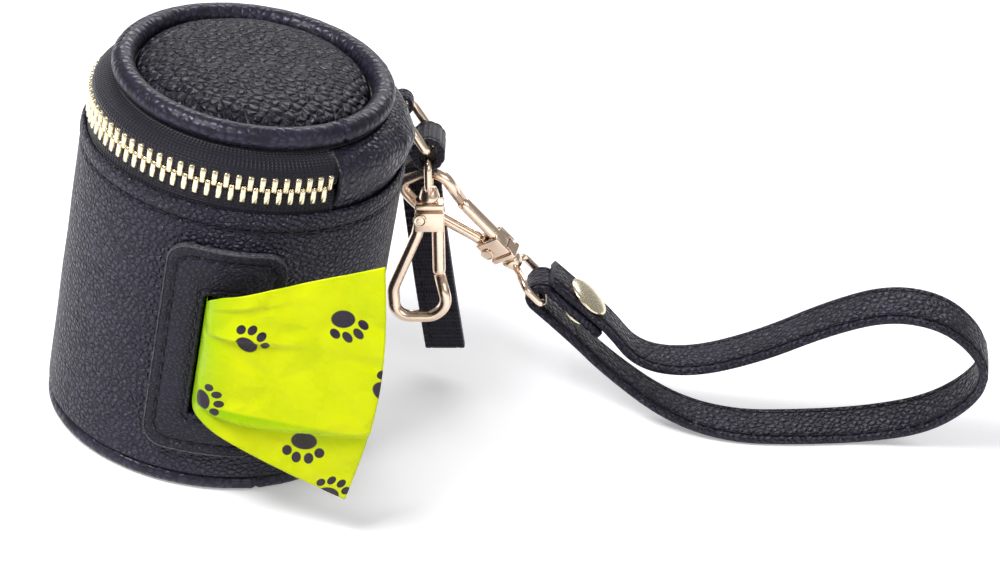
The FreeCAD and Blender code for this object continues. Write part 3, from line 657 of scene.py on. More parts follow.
def cordRing(name, cut):
    ring, cord, height = cut.ring, cut.cord, cut.height

    def shape(r, z, angle):
        gap = abs((angle - cut.jointAngle + 180) % 360 - 180) * radians(1) * ring
        pinch = 1 - 0.2 * exp(-(gap / 0.4) ** 2) + 0.05 * exp(-((gap - 1.1) / 0.6) ** 2)
        turn = atan2(z - height, r - ring)
        swell = 1 + cut.ripple * noise.noise(polar(9, angle, turn))
        reach = hypot(r - ring, z - height) * pinch * swell
        return polar(ring + reach * cos(turn), angle, height + reach * sin(turn))

    turns = [2 * pi * s / 28 for s in range(28)]
    profile = [(ring + cord * cos(turn), height + cord * sin(turn)) for turn in turns]
    return lathe(name, profile, 480, cut.jointAngle, 360, shape)


dressed(cordRing("base_cord", base), cordLeather, "carrier", "leather", "base_piping")
basePanel = lathe("base_disc", [
    (0, 0.02), (20, 0.0), (26.8, 0.0), (27.5, 0.35), (27.6, 0.9), (27.0, 1.0), (0, 1.0)])
dressed(basePanel, wallLeather, "carrier", "leather", "base_panel")
print("carrier body made")

# lid: padded dome, piping and the sloping zip tape
lid = Measures(ring=24.8, cord=2.25, height=74.0, jointAngle=-46.0, ripple=0.02,
               domeRadius=22.45, domeFoot=72.65, domeTop=78.1, gathers=61)


def domeHeight(r):
    share = min(r / lid.domeRadius, 1.0)
    return lid.domeFoot + (lid.domeTop - lid.domeFoot) * (1 - share ** 4.0) ** 0.6


def domeShape(r, z, angle):
    point = polar(r, angle, z)
    if z <= lid.domeFoot:
        return point
    edge = exp(-((lid.domeRadius - r) / 1.7) ** 2)
    gather = sin(lid.gathers * radians(angle) + 2.2 * noise.noise(polar(3, angle, 0)))
    lump = noise.noise(point * 0.11)
    return point + Vector((0, 0, 0.24 * edge * gather + 0.25 * lump * (1 - edge)))


domeRadii = [lid.domeRadius * sin(radians(90 * s / 44)) for s in range(45)]
domeUnder = lid.domeFoot - 0.05
domeProfile = [(r, domeHeight(r)) for r in domeRadii] + [(lid.domeRadius - 0.3, domeUnder), (0, domeUnder)]
dome = lathe("lid_dome", domeProfile, 240, 0, 360, domeShape)
for loop, uv in zip(dome.data.loops, dome.data.uv_layers["surface"].data):  # grain laid flat over the top
    uv.uv = dome.data.vertices[loop.vertex_index].co.xy / mm
dressed(dome, lidLeather, "lid", "leather", "lid_panel", "lid_pad")

dressed(cordRing("lid_cord", lid), cordLeather, "lid", "leather", "lid_piping")
lidLining = lathe("lid_lining_disc", [(0, 71.55), (25.7, 71.5), (26.0, 71.6), (25.8, 71.75), (0, 71.75)])
dressed(lidLining, liningCloth, "lid", "lining", "lid_lining")

chain = Measures(tapeStart=44.5, tapeSweep=262.5, start=50.0, sweep=256.0, height=65.9, middle=29.75,
                 pitch=2.2)
upperProfile = curved([
    (30.02, 66.5), (30.05, 68.6), (29.75, 69.8), (28.9, 70.7), (27.6, 71.4), (26.2, 71.75)], 5)
upperLoop = [(p.x, p.y) for p in upperProfile]
upperLoop += [(p.x - 0.45, p.y - 0.32) for p in reversed(upperProfile[5:])] + [(29.52, 68.4), (29.52, 66.5)]
lowerLoop = [
    (30.0, 56.2), (30.0, 60), (30.0, 65.15), (29.9, 65.3), (29.6, 65.3), (29.5, 65.15), (29.5, 60),
    (29.5, 56.2)]
for name, loop, rider, node in (
        ("upper_tape", upperLoop, "lid", "upper_zip_tape"),
        ("lower_tape", lowerLoop, "carrier", "lower_zip_tape")):
    tape = lathe(name, loop, 160, chain.tapeStart, chain.tapeSweep)
    dressed(tape, tapeCloth, rider, "zip_tape", node)

# one tooth: each row is the rise from the heel, half the width and half the depth
toothRows = [
    (0.0, 0.44, 0.78), (0.15, 0.54, 0.88), (1.55, 0.54, 0.88), (1.95, 0.47, 0.84), (2.6, 0.5, 0.84),
    (3.05, 0.42, 0.7), (3.2, 0.25, 0.45)]
toothSides = [(1, -0.7), (1, 0.7), (0.75, 1), (-0.75, 1), (-1, 0.7), (-1, -0.7), (-0.75, -1), (0.75, -1)]


def toothPiece(name, up):
    def place(i, j):
        rise, half, deep = toothRows[i]
        out, side = toothSides[j]
        return Vector((out * deep, side * half, up * (rise - 2.7)))

    return gridPiece(name, len(toothRows), len(toothSides), place, lambda i, j: (i, j), wrapCols=True,
                     closeEnds=True)


def toothRow(name, up, shift, body, node):
    step = degrees(chain.pitch / chain.middle)
    count = int(chain.sweep / step)
    first = chain.start + shift * step
    arc = [polar(chain.middle, first + step * (count - 1) * s / 600, chain.height) for s in range(601)]
    tooth = toothPiece("tooth", up)
    row = treeRun(name, [(arc, False)], zipping, {"toothCount": count, "tooth": tooth, "metal": paleGold})
    bpy.data.objects.remove(tooth)
    return dressed(row, paleGold, body, "zip_metal", node)


toothRow("lower_teeth", 1, 0.5, "carrier", "lower_zip_teeth")
toothRow("upper_teeth", -1, 1.0, "lid", "upper_zip_teeth")

# hinge panel: bends from the body to the lid, with folded edge strips and slack creases
hinge = Measures(start=-53.0, sweep=96.5, segments=120, fold=0.55, crease=0.22, lump=0.35, slack=1.1)
hingeLine = curved([
    (29.9, 56.4), (29.92, 59.6), (30.05, 61.6), (30.5, 63.6), (30.75, 66.0), (30.6, 68.3), (29.8, 70.0),
    (28.4, 71.2), (26.6, 71.9)], 5)
hingeLoop = [(p.x, p.y) for p in hingeLine] + [(p.x - 0.7, p.y - 0.25) for p in reversed(hingeLine)]


def hingeShape(r, z, angle):
    along = radians(angle - hinge.start) * 30
    far = radians(hinge.sweep) * 30 - along
    rim = exp(-(min(along, far) / 1.1) ** 4) * hinge.fold
    free = clamped((z - 61.5) / 3) * clamped((72 - z) / 2.5)
    crease = sin(z * 1.15 + 1.6 * sin(angle * 0.09)) * hinge.crease * clamped((angle + 42) / 30)
    lump = noise.noise(Vector((angle * 0.12, z * 0.22, 3.1))) * hinge.lump
    slack = hinge.slack * exp(-((angle - 2) / 22) ** 2) * exp(-((z - 65.5) / 3.2) ** 2)
    return polar(r + free * (rim + crease + lump + slack), angle, z)


hingeLeather = lathe("hinge_leather", hingeLoop, hinge.segments, hinge.start, hinge.sweep, hingeShape)
dressed(hingeLeather, hingeGrain, None, "leather", "hinge_panel")
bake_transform(hingeLeather)
print("lid and zip made")

# bags: roll, card core and the loose end
bags = Measures(middle=Vector((12.0, 1.0, 0)), radius=13.9, core=7.0, foot=2.9, top=62.9, winding=0.55)


def pawGroup():
    tree, given = nodeTree("pawMark", "ShaderNodeTree", {"Mark": "Float"}, {
        "Vector": "Vector", "Centre": "Vector", "Turn": "Float", "Size": "Float"})
    moved = vectorMaths(tree, "SUBTRACT", given["Vector"], given["Centre"])
    turned = addNode(tree, "ShaderNodeVectorRotate", {"Vector": moved, "Angle": given["Turn"]},
                     rotation_type="Z_AXIS")
    inverse = maths(tree, "DIVIDE", 1.0, given["Size"])
    sized = addNode(tree, "ShaderNodeVectorMath", {0: turned.outputs[0], "Scale": inverse}, operation="SCALE")
    nearest = None
    pads = [
        ((0, -0.32), (0.62, 0.5)), ((-0.78, 0.3), (0.24, 0.3)), ((-0.3, 0.68), (0.23, 0.33)),
        ((0.3, 0.68), (0.23, 0.33)), ((0.78, 0.3), (0.24, 0.3))]
    for (x, y), (wide, tall) in pads:
        apart = vectorMaths(tree, "SUBTRACT", sized.outputs[0], (x, y, 0))
        scaled = vectorMaths(tree, "MULTIPLY", apart, (1 / wide, 1 / tall, 0))
        reach = addNode(tree, "ShaderNodeVectorMath", {0: scaled}, operation="LENGTH").outputs["Value"]
        nearest = reach if nearest is None else maths(tree, "MINIMUM", nearest, reach)
    addNode(tree, "NodeGroupOutput", {"Mark": ranged(tree, nearest, 1.0, 0.0, 0.95, 1.05)})
    return tree


pawMark = pawGroup()


def foldShade(tree, place):  # film that lies in its own shade, by the slot and under the long fold
    where = addNode(tree, "ShaderNodeSeparateXYZ", {0: place})
    along, up = where.outputs["X"], where.outputs["Y"]
    near = ranged(tree, along, 0.9, 0.0, 36, 45)
    rising = ranged(tree, up, 0.0, 0.9, 18.5, 23.4)
    under = maths(tree, "MULTIPLY", rising, ranged(tree, up, 1.0, 0.0, 23.6, 24.2))
    under = maths(tree, "MULTIPLY", under, ranged(tree, along, 1.0, 0.15, 44, 74))
    return maths(tree, "MAXIMUM", near, under)


def filmFinish(name, paws):
    finish, tree, surface = newMaterial(name, {
        "Specular IOR Level": 0.4, "Specular Tint": (1, 1, 0.25, 1), "Subsurface Weight": 0.15,
        "Subsurface Radius": (0.002, 0.003, 0.0005)})
    place = coords(tree, (1, 1, 1))
    printed = None
    for centre, turn, size in paws:
        inputs = {"Vector": place, "Centre": (*centre, 0), "Turn": turn, "Size": size}
        paw = addNode(tree, "ShaderNodeGroup", inputs, node_tree=pawMark)
        printed = paw.outputs[0] if printed is None else maths(tree, "MAXIMUM", printed, paw.outputs[0])
    cloud = clouds(tree, place, 0.13, 3.0)
    crinkle = clouds(tree, place, 0.5, 5.0, "Fac", 1.2)
    base = mixed(tree, ranged(tree, cloud, 0.0, 1.0, 0.3, 0.7), (0.58, 0.68, 0.0, 1), (0.7, 0.76, 0.002, 1))
    # painted shade: the film is greener by the slot and under the long fold, where it lies in its own shade
    base = mixed(tree, foldShade(tree, place), base, (0.24, 0.5, 0.0, 1))
    base = mixed(tree, printed, base, (0.014, 0.006, 0.045, 1))
    creased = eased(tree, cells(tree, place, 0.1, 1.0, "DISTANCE_TO_EDGE"), 0.22)
    height = maths(tree, "ADD", maths(tree, "MULTIPLY", crinkle, 0.5), creased)
    surfaced(tree, surface, base, ranged(tree, cloud, 0.2, 0.4, 0.3, 0.7), 0.7, 0.4, height)
    return finish


# each mark is its place on the film, turn and size
tailPaws = [
    ((46.5, 39.5), 0.5, 3.3), ((62.5, 46.5), 2.6, 3.4), ((59, 18.5), 3.0, 3.6), ((40.5, 25), 1.2, 3.1),
    ((70.3, 35), 0.7, 3.4), ((66, 10), 0.2, 3.1)]
tailFilm = filmFinish("limeFilm", tailPaws)
rollPaws = [((10 + 22 * (k % 4) + 11 * (k // 4 % 2), 8 + 11 * (k // 4)), 0.9 * k, 3.2) for k in range(20)]
rollFilm = filmFinish("limeRoll", rollPaws)

rollOut, rollLow, rollHigh, winding = bags.radius, bags.foot, bags.top, bags.winding
windings = int((rollOut - bags.core) / winding)
rollTop = []
for step in range(windings * 4):
    r = bags.core + 0.05 + winding * step / 4
    rollTop.append((r, rollHigh - 0.12 + 0.12 * abs(sin(pi * (r - bags.core) / winding))))
rollLoop = [(r, rollLow + rollHigh - z) for r, z in rollTop]
rollLoop += [(rollOut - 0.1, rollLow + 0.1), (rollOut, rollLow + 0.6)]
rollLoop += [(rollOut, z) for z in (10, 20, 30, 40, 50)]
rollLoop += [(rollOut, rollHigh - 0.6), (rollOut - 0.1, rollHigh - 0.1)] + rollTop[::-1]


def rollShape(r, z, angle):
    wave = 0.1 * noise.noise(polar(1.5, angle, z * 0.05))
    out = r + wave * (1 if r > rollOut - 0.2 else 0.3) - 0.08
    return polar(out, angle, z) + bags.middle


roll = lathe("film_roll", rollLoop, 120, 0, 360, rollShape)
dressed(roll, rollFilm, "bag_roll", "film", "bag_roll")
coreLoop = [
    (6.0, rollLow), (6.98, rollLow), (6.98, 30), (6.98, rollHigh - 0.1), (6.85, rollHigh), (6.1, rollHigh),
    (6.0, rollHigh - 0.1), (6.0, 30)]
core = lathe("card_core", coreLoop, 90, 0, 360, lambda r, z, angle: polar(r, angle, z) + bags.middle)
dressed(core, brownCard, "bag_roll", "card", "roll_core")

# loose end: each station is x, y, facing, low, high
tail = Measures(thick=0.12, rows=140, cols=90, fanStart=38, fanRun=30, stations=[
    (-2.25, 1, 0, 17.9, 42.5), (-2.25, -12, 0, 17.9, 42.5), (-2.25, -25, 0, 18.4, 42.5),
    (-2.25, -33, 0, 21.2, 43.0), (-1.6, -36.6, 25, 20.9, 45.2), (0.6, -38.3, 65, 19.3, 47.0),
    (4, -39.0, 84, 17.3, 48.4), (10, -39.3, 90, 14.7, 51.2), (16, -39.4, 90, 12.6, 53.8),
    (23, -39.7, 90, 10.3, 56.8), (29.0, -40.0, 90, 8.4, 59.6)])
tailPlan = curved([row[:2] for row in tail.stations], 12)
tailFace = curved([row[2:] for row in tail.stations], 12)
tailRun = runLengths(tailPlan)


def tailStation(length):
    index = 0
    while index < len(tailRun) - 2 and tailRun[index + 1] < length:
        index += 1
    share = (length - tailRun[index]) / (tailRun[index + 1] - tailRun[index])
    return tailPlan[index].lerp(tailPlan[index + 1], share), tailFace[index].lerp(tailFace[index + 1], share)


def foldStep(away, reach):  # the film above a fold laps over the film below it
    return -tanh(away / 0.012) * exp(-abs(away) / reach)


def tailPlace(i, j):
    length = tailRun[-1] * i / (tail.rows - 1)
    v = j / (tail.cols - 1)
    spot, (facing, low, high) = tailStation(length)
    fan = clamped((length - tail.fanStart) / tail.fanRun)
    up = low + (high - low) * v
    longFold = 0.1 + 0.2 * fan
    shortFold = 0.7 - 0.06 * fan
    sink = foldStep(v - longFold, 0.11) * 2.0 * min(1, fan * 3) * (1 - 0.5 * fan)
    sink += foldStep(v - shortFold, 0.07) * 1.7 * min(1, fan * 4) * max(0, 1 - fan * 1.5)
    sink += foldStep(v - 0.9, 0.05) * 0.9 * min(1, fan * 4) * max(0, 1 - fan * 1.8)
    belly = 1.1 * sin(pi * v) * fan
    ripple = 0.6 * fan * noise.noise(Vector((length * 0.09, up * 0.06, 1.7)))
    ripple += 0.25 * fan * noise.noise(Vector((length * 0.23, up * 0.2, 5.2)))
    reach = 2.9 * sin(pi * v) * fan * fan
    return Vector((spot.x + reach, spot.y, up)) + polar(1, facing, 0) * (sink - belly + ripple)


def tailMeasure(i, j):
    return tailRun[-1] * i / (tail.rows - 1), tailPlace(i, j).z


loose = gridPiece("bag_end", tail.rows, tail.cols, tailPlace, tailMeasure)
thickened(loose, tail.thick, 0.0)
dressed(loose, tailFilm, "bag_tail", "film", "bag_tail")
print("bags made")

# ring, tab and webbing
hardware = Measures(bar=Vector((35.6, 21.0, 54.9)), ringHalf=5.35, ringReach=9.7, ringWire=0.9, ringDip=49.6,
                    lean=10.0, eyeDrop=2.5, tabGap=1.85, tabWidth=3.6, tabThick=0.8)
ringUp = Matrix.Rotation(radians(hardware.ringDip - 90), 3, "Y") @ Vector((0, 0, 1))
ringTop = hardware.bar + ringUp * hardware.ringReach
half = hardware.ringHalf
ringFlat = bentLine([(0, 0), (half, 0), (half, hardware.ringReach - half)], 1.5, 8)
ringHalfLine = [(p.x, p.y) for p in ringFlat]
arch = [(half * cos(radians(a)), hardware.ringReach - half + half * sin(radians(a)))
        for a in range(4, 180, 4)]
ringLine = ringHalfLine + arch + [(-x, up) for x, up in reversed(ringHalfLine)][:-1]
ringPath = [hardware.bar + Vector((0, x, 0)) + ringUp * up for x, up in ringLine]


def closedWire(name, path, radius):
    count, sides = len(path), 20
    normal = (path[count // 3] - path[0]).cross(path[2 * count // 3] - path[0]).normalized()
    tangents = tangentsOf(path, True)

    def place(i, j):
        turn = 2 * pi * j / sides
        return path[i] + (normal * cos(turn) + tangents[i].cross(normal) * sin(turn)) * radius

    return gridPiece(name, count, sides, place, lambda i, j: (i, j), wrapRows=True, wrapCols=True)


dRing = closedWire("d_ring_wire", ringPath, hardware.ringWire)
dressed(dRing, roseGold, "d_ring", "gold_metal", "d_ring")

tabSlope = Vector((-0.8, 0, -0.6)).normalized()
tabSide = Vector((-tabSlope.z, 0, tabSlope.x))
tabGap = hardware.tabGap
tabPath = bentLine([tabSide * tabGap + tabSlope * 10.5, tabSide * tabGap - tabSlope * tabGap,
                    tabSide * -tabGap - tabSlope * tabGap, tabSide * -tabGap + tabSlope * 8.5], tabGap, 12)
tabPath = [ringTop + p for p in tabPath]
tabCut = strapSection(hardware.tabWidth, hardware.tabThick, 0.25)
ringTab = strap("ring_loop", tabPath, [Vector((0, 1, 0))] * len(tabPath), tabCut)
dressed(ringTab, strapLeather, "carrier", "leather", "ring_tab")

hang = Matrix.Rotation(radians(-hardware.lean), 4, "Y")
holderBar = hardware.bar + (hang @ Vector((0, 0, -hardware.eyeDrop)))
holderPlace = Matrix.Translation(holderBar) @ hang
webbing = Measures(width=8.2, thick=1.3, loop=2.75, rib=1.6, loopFoot=1.15, loopTop=1.45, tailWidth=8.0,
                   tailThick=2.3, seam=2.7, stitch=(2.0, 0.8, 0.17))


def webRipple(length):
    return 0.84 + 0.3 * abs(sin(pi * length / webbing.rib))


loopPath = []
for first, height in ((0, webbing.loopTop), (pi, webbing.loopFoot)):
    for step in range(28):
        a = first + pi * step / 28
        loopPath.append(Vector((webbing.loop * cos(a), 0, height + webbing.loop * sin(a))))
webLoop = strap("web_loop", loopPath, [Vector((0, 1, 0))] * len(loopPath),
                strapSection(webbing.width, webbing.thick - 0.1, 0.3, 1.2, 0.16), webRipple, True)
# each row of the tail is x, y, drop and turn in degrees
tailRows = [
    (-2.75, 0.0, -1.2, 90), (-3.4, 2.8, 1.0, 77), (-3.7, 5.6, 3.2, 62), (-3.4, 6.9, 5.1, 41),
    (-2.9, 7.8, 7.0, 20), (-2.3, 8.2, 9.0, 10), (-1.9, 8.3, 11.0, 3), (-1.5, 8.3, 16.0, 1),
    (-0.9, 8.3, 22.0, 0), (0.5, 8.2, 35.0, 0), (2.2, 8.0, 48.5, 0)]
webTailLine = curved([(x, y, -drop) for x, y, drop, turn in tailRows], 20)
webTailTurn = curved([(turn, 0, 0) for x, y, drop, turn in tailRows], 20)
webTailWide = [polar(1, turn.x, 0) for turn in webTailTurn]
webTail = strap("web_tail", webTailLine, webTailWide,
                strapSection(webbing.tailWidth, webbing.tailThick, 0.4, 1.3, 0.14), webRipple)
webStrap = placed(joined("web_strap", [webLoop, webTail]), holderPlace)
dressed(webStrap, webCloth, "leash_strap", "webbing", "leash_strap")
webSeams = []
sewn = slice(140, -3)  # the tail's straight part
for side in (-webbing.seam, webbing.seam):
    line = [holderPlace @ (point + wide * side + Vector((0, -1.1, 0)))
            for point, wide in zip(webTailLine[sewn], webTailWide[sewn])]
    webSeams.append((line, False))
stitched("web_stitches", webSeams, "leash_strap", "webbing", *webbing.stitch)
print("webbing made")

# swivel clasps, in their own frame: the eye's bar at the origin and the hook along -Z
clasp = Measures(wire=1.15, eyeWire=0.75, left=-7.4, right=3.6, heel=-31.6, foot=-37.1, bend=5.0,
                 pivot=(-1.9, -14.3), gateX=1.6, gateWire=1.3, holderEye=5.0, wristEye=5.8)


def claspEye(name, half):
    path = bentLine([(0, -0.9, -8.6), (0, -half, -5.4), (0, -half, 0), (0, half, 0), (0, half, -5.4),
                     (0, 0.9, -8.6)], 1.9, 10)
    loop = wire("loop", path, clasp.eyeWire)
    collar = lathe("collar", [
        (0, -7.7), (1.1, -7.75), (1.5, -8.1), (1.75, -8.7), (1.9, -9.3), (2.05, -9.8), (2.0, -10.35),
        (1.6, -10.65), (1.15, -10.75), (0.9, -10.85), (0.9, -12.25), (0, -12.25)], 40)
    return joined(name, [loop, collar])


def claspHook(name):
    path = bentLine([(-1.95, 0, -15.4), (-2.6, 0, -18.4), (clasp.left - 0.3, 0, clasp.heel + 1),
                     (clasp.left, 0, clasp.foot), (clasp.right, 0, clasp.foot),
                     (1.72, 0, -27.55)], clasp.bend, 14)
    lengths = runLengths(path)
    radii = [clasp.wire * (1.0 + 0.08 * sin(pi * (length / lengths[-1]))) for length in lengths]
    arm = wire("arm", path, radii, 24)
    seat = roundedBox((-2.9, -1.8, -12.3), (2.9, 1.8, -10.95), 0.35)
    cheek = roundedBox((-2.85, -1.15, -17.3), (-0.95, 1.15, -12.0), 0.3)
    block = roundedBox((-2.8, -1.22, -13.6), (2.7, 1.22, -11.4), 0.2)
    return joined(name, [arm, seat, cheek, block])


def claspGate(name):
    full = clasp.gateWire
    drops = (-13.9, -14.4, -16, -18, -20, -22, -24, -26, -26.9, -27.25)
    bar = wire("bar", [Vector((clasp.gateX, 0, z)) for z in drops],
               [full * 0.8] + [full] * 7 + [full * 0.97, full * 0.8], 24)
    cheeks = [roundedBox((-2.9, y, -17.0), (2.8, y + 0.6, -12.7), 0.22) for y in (-1.9, 1.3)]
    bridge = roundedBox((0.7, -1.5, -17.0), (2.8, 1.5, -13.9), 0.25)
    return joined(name, [bar, bridge, *cheeks])


def claspRivet(name):
    pivotX, pivotZ = clasp.pivot
    head = [
        (0, 2.28), (0.7, 2.32), (0.95, 2.22), (1.02, 2.34), (1.25, 2.3), (1.35, 2.15), (1.35, 2.0),
        (0.8, 2.0)]
    pin = lathe(name, head + [(r, -z) for r, z in reversed(head)], 36)
    return placed(pin, Matrix.Translation((pivotX, 0, pivotZ)) @ Matrix.Rotation(radians(90), 4, "X"))


def claspSet(name, eyeHalf, hookPlace, eyePlace):
    pieces = [(claspEye(name + "_loop", eyeHalf), eyePlace, "eye", "eye"),
              (claspHook(name + "_bow"), hookPlace, "hook", "hook"),
              (claspRivet(name + "_pin"), hookPlace, "hook", "rivet"),
              (claspGate(name + "_latch"), hookPlace, "gate", "gate")]
    for piece, place, body, node in pieces:
        dressed(placed(piece, place), roseGold, f"{name}_{body}", "gold_metal", f"{name}_clasp_{node}")


claspSet("holder", clasp.holderEye, holderPlace, holderPlace)
wrist = Measures(bar=Vector((63.64, 26.26, 22.66)), bearing=7.28, dip=41.2, roll=28.48, strapBearing=-1.5)
bearing, dip, rollTurn = (radians(a) for a in (wrist.bearing, wrist.dip, wrist.roll))
along = Vector((cos(dip) * cos(bearing), cos(dip) * sin(bearing), -sin(dip)))
rise = Vector((sin(dip) * cos(bearing), sin(dip) * sin(bearing), cos(dip)))
aside = Vector((sin(bearing), -cos(bearing), 0))
wide = rise * cos(rollTurn) + aside * sin(rollTurn)


def axesPlace(x, y, z, origin):
    turn = Matrix((x, y, z)).transposed().to_4x4()
    return Matrix.Translation(origin) @ turn


wristPlace = axesPlace(wide, along.cross(wide), along, wrist.bar)
strapTurn = Matrix.Rotation(radians(wrist.strapBearing), 4, "Z")
strapAcross = strapTurn.to_3x3() @ Vector((0, 1, 0))
eyeBar = (strapAcross - along * strapAcross.dot(along)).normalized()
wristEyePlace = axesPlace(eyeBar.cross(along), eyeBar, along, wrist.bar)
claspSet("wrist", clasp.wristEye, wristPlace, wristEyePlace)
print("clasps made")

# wrist strap: one strip from the flap, out round the loop and back round the clasp's eye
strapCut = Measures(width=8.8, thick=1.8, fold=2.3, dip=34.0, inset=1.25, snapReach=7.8,
                    stitch=(2.2, 0.8, 0.2))
stackTurn = radians(strapCut.dip)
stack = Vector((cos(stackTurn), 0, -sin(stackTurn)))
lift = Vector((-stack.z, 0, stack.x))
topLayer = strapCut.fold + strapCut.thick + 0.2
strapPlace = Matrix.Translation(wrist.bar) @ strapTurn


def stacked(reach, height):
    place = stack * reach + lift * height
    return (place.x, place.z)


floorLine = strapCut.thick / 2 - wrist.bar.z
# each row is reach, height, sideways drift, bank in degrees and width share
outerLoop = [
    (21.4, 10.4, 0, 0, 1.05), (32.3, 10.7, 0, 3, 1.12), (45.3, 17.1, 0, 7, 1.12), (57.7, 26.1, 0, 11, 1.12),
    (68.9, 31.9, 0, 14, 1.12), (79.6, 31.9, 0, 14, 1.12), (87.7, 26.9, 0.5, 12, 1.12),
    (91.6, 20.1, 1.6, 9, 1.14), (89.6, 12.4, 4.0, 13, 1.16), (82.5, 4.9, 5.0, 16, 1.16),
    (70.8, 1.2, 3.6, 14, 1.12), (56.5, 1.0, -1.8, 11, 1.12), (42.4, 0.7, -5.4, 8, 1.1),
    (29.1, 2.4, -4.6, 5, 1.05)]
fold = strapCut.fold
strapPoints = [stacked(reach, topLayer) for reach in (-1.2, 7, 14.5)]
strapPoints += [(row[0], row[1] + floorLine) for row in outerLoop]
strapPoints += [stacked(reach, -fold) for reach in (20.0, 10.0, 0)]
strapTwist = [(0, 0, 1)] * 3 + [row[2:] for row in outerLoop] + [(-1.6, 2, 1), (0, 0, 1), (0, 0, 1)]


def routeLine(points, detail):  # a smooth spline with these control points
    guide = curveGuide("route", "NURBS", [(points, False)])
    guide.data.resolution_u = detail
    spline = guide.data.splines[0]
    spline.order_u = 3
    spline.use_endpoint_u = True
    mesh = bpy.data.meshes.new_from_object(guide)
    line = [v.co.copy() for v in mesh.vertices]
    bpy.data.objects.remove(guide)
    bpy.data.meshes.remove(mesh)
    return line


strapLine = routeLine([(x, drift, z) for (x, z), (drift, bank, share) in zip(strapPoints, strapTwist)], 10)
strapBank = routeLine([(bank, share, 0) for drift, bank, share in strapTwist], 10)
for step in range(1, 20):  # round the eye's bar
    a = pi * step / 20
    strapLine.append(stack * (-fold * sin(a)) + lift * (-fold * cos(a)))
strapLine += [Vector((x, 0, z)) for x, z in (stacked(reach, fold) for reach in (0, 4, 9, 14))]
strapWide = [Matrix.Rotation(radians(twist.x), 3, "X") @ Vector((0, twist.y, 0)) for twist in strapBank]
strapWide += [Vector((0, 1, 0))] * (len(strapLine) - len(strapWide))
wristStrap = strap("wrist_band", strapLine, strapWide,
                   strapSection(strapCut.width, strapCut.thick, 0.4, strapCut.inset, 0.24, 0.16))
placed(wristStrap, strapPlace)
dressed(wristStrap, strapLeather, "wrist_strap", "strap_leather", "wrist_strap")


def strapEdge(side, faceSide):
    line = []
    for point, tangent, wide in list(zip(strapLine, tangentsOf(strapLine), strapWide))[2:-2]:
        normal = tangent.cross(wide).normalized()
        line.append(strapPlace @ (point + wide * side + normal * faceSide))
    return line


strapInset = strapCut.width / 2 - strapCut.inset
strapFace = strapCut.thick / 2 - 0.1
strapSeams = [(strapEdge(s, f), False) for s in (-strapInset, strapInset) for f in (-strapFace, strapFace)]
stitched("band_stitches", strapSeams, "wrist_strap", "strap_leather", *strapCut.stitch)

# snap: cap, socket and post through the folded strap
snapPlace = strapPlace @ Matrix.Translation(stack * strapCut.snapReach)
snapPlace = snapPlace @ Matrix.Rotation(stackTurn, 4, "Y")
capFoot = topLayer + strapCut.thick / 2
socketFoot = fold - strapCut.thick / 2 - 0.9
capProfile = [(r, capFoot + z) for r, z in (
    (0, -0.05), (4.3, -0.05), (4.6, 0.05), (4.68, 0.3), (4.5, 0.55), (4.0, 0.72), (3.0, 0.9), (1.6, 1.0),
    (0, 1.03))]
socketProfile = [(r, socketFoot + z) for r, z in (
    (0, 0), (3.2, 0), (3.6, 0.15), (3.7, 0.45), (3.6, 0.8), (3.3, 0.9), (0, 0.9))]
postProfile = [(r, socketFoot + z) for r, z in ((0, 0.9), (1.05, 0.9), (1.1, 1.4), (2.9, 2.7))]
postProfile += [(r, capFoot + z) for r, z in ((2.9, -1.8), (1.1, -1.7), (1.05, 0), (0, 0))]
for name, profile, segments, node in (
        ("snap_dome", capProfile, 64, "snap_cap"), ("snap_back", socketProfile, 56, "snap_socket"),
        ("snap_stud", postProfile, 40, "snap_post")):
    dressed(placed(lathe(name, profile, segments), snapPlace), paleGold, "wrist_strap", "gold_metal", node)
print("wrist strap made")

# CAD nodes that stay: boards, springs, slider and pull
for node, finish in (
        ("body_board", greyBoard), ("base_board", greyBoard), ("lid_board", greyBoard),
        ("holder_clasp_spring", springSteel), ("wrist_clasp_spring", springSteel), ("zip_slider", paleGold),
        ("zip_pull", paleGold)):
    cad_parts[node].data.materials.clear()
    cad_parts[node].data.materials.append(finish)

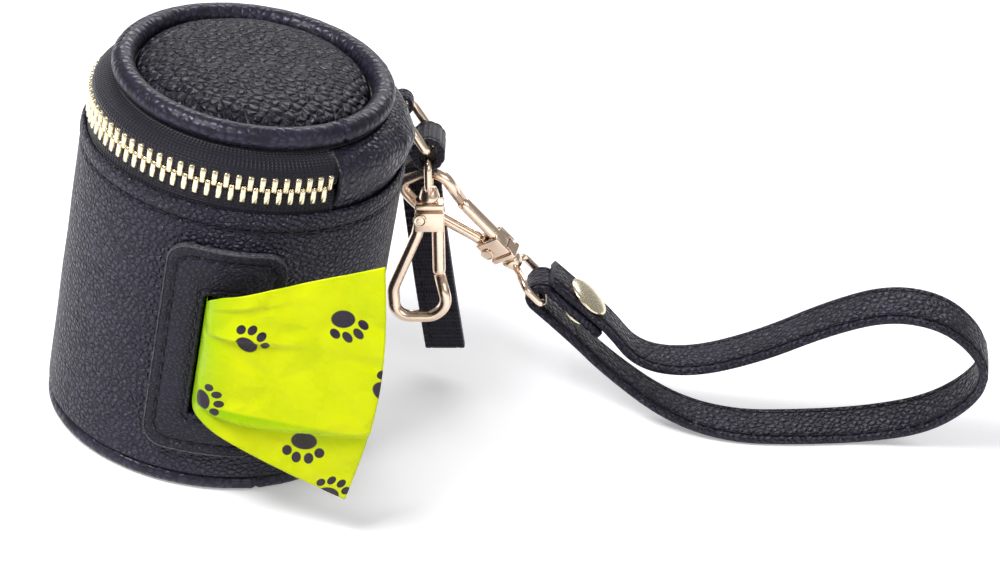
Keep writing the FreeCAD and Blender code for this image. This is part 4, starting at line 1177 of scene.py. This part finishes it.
# studio: each lamp is its name, place, target, size and power
studio = Measures(floor=(0.86, 0.86, 0.885), floorReach=6.0, floorGlow=0.3, roomLight=0.3, lamps=[
    ("key", (-0.4, -0.3, 0.75), (0.03, 0, 0.03), (0.4, 0.3), 8.0),
    ("fill", (0.6, -0.7, 0.5), (0.05, 0, 0.03), (0.7, 0.5), 1.8),
    ("rim", (0.1, 0.7, 0.5), (0.05, 0, 0.04), (0.8, 0.3), 3.4)])
floorMesh = bpy.data.meshes.new("studio_floor")
reach = studio.floorReach
corners = [(-reach, -reach, 0), (reach, -reach, 0), (reach, reach, 0), (-reach, reach, 0)]
floorMesh.from_pydata(corners, [], [(0, 1, 2, 3)])
floorPiece = linked("studio_floor", floorMesh)
floorFinish, floorTree, floorSurface = newMaterial("paleFloor", {
    "Base Color": (*studio.floor, 1), "Roughness": 0.6, "Specular IOR Level": 0.2,
    "Emission Color": (1, 1, 1, 1)})
rays = addNode(floorTree, "ShaderNodeLightPath")
seenRay = maths(floorTree, "MAXIMUM", rays.outputs["Is Camera Ray"], rays.outputs["Is Glossy Ray"])
glow = maths(floorTree, "MULTIPLY", seenRay, studio.floorGlow)
floorTree.links.new(glow, floorSurface.inputs["Emission Strength"])
floorMesh.materials.append(floorFinish)

world = bpy.data.worlds.new("studio")
scene.world = world
world.use_nodes = True
sky = world.node_tree
sky.nodes.clear()
skyRays = addNode(sky, "ShaderNodeLightPath")
seen = maths(sky, "MAXIMUM", skyRays.outputs["Is Camera Ray"], skyRays.outputs["Is Transmission Ray"])
strength = ranged(sky, seen, studio.roomLight, 1.0)
light = addNode(sky, "ShaderNodeBackground", {"Color": (1, 1, 1, 1), "Strength": strength})
addNode(sky, "ShaderNodeOutputWorld", {"Surface": light.outputs[0]})

for name, place, target, size, power in studio.lamps:
    lamp = bpy.data.lights.new(name, "AREA")
    lamp.shape = "RECTANGLE"
    lamp.size, lamp.size_y = size
    lamp.energy = power
    stand = linked(name, lamp)
    stand.location = place
    stand.rotation_mode = "QUATERNION"
    stand.rotation_quaternion = (Vector(target) - Vector(place)).to_track_quat("-Z", "Y")

# camera at the photograph's angle, rolled a little
view = Measures(place=(0, -0.721085, 0.442062), look=(0.064057, 0.870491, -0.487999),
                up=(-0.150617, 0.491835, 0.857562), sensor=36, lens=153.889)
cameraData = bpy.data.cameras.new("view")
cameraData.sensor_width = view.sensor
cameraData.lens = view.lens
camera = linked("view", cameraData)
look = Vector(view.look).normalized()
sideways = look.cross(Vector(view.up)).normalized()
camera.matrix_world = axesPlace(sideways, sideways.cross(look), -look, view.place)
scene.camera = camera
scene.view_settings.view_transform = "Standard"

print("scene ready")
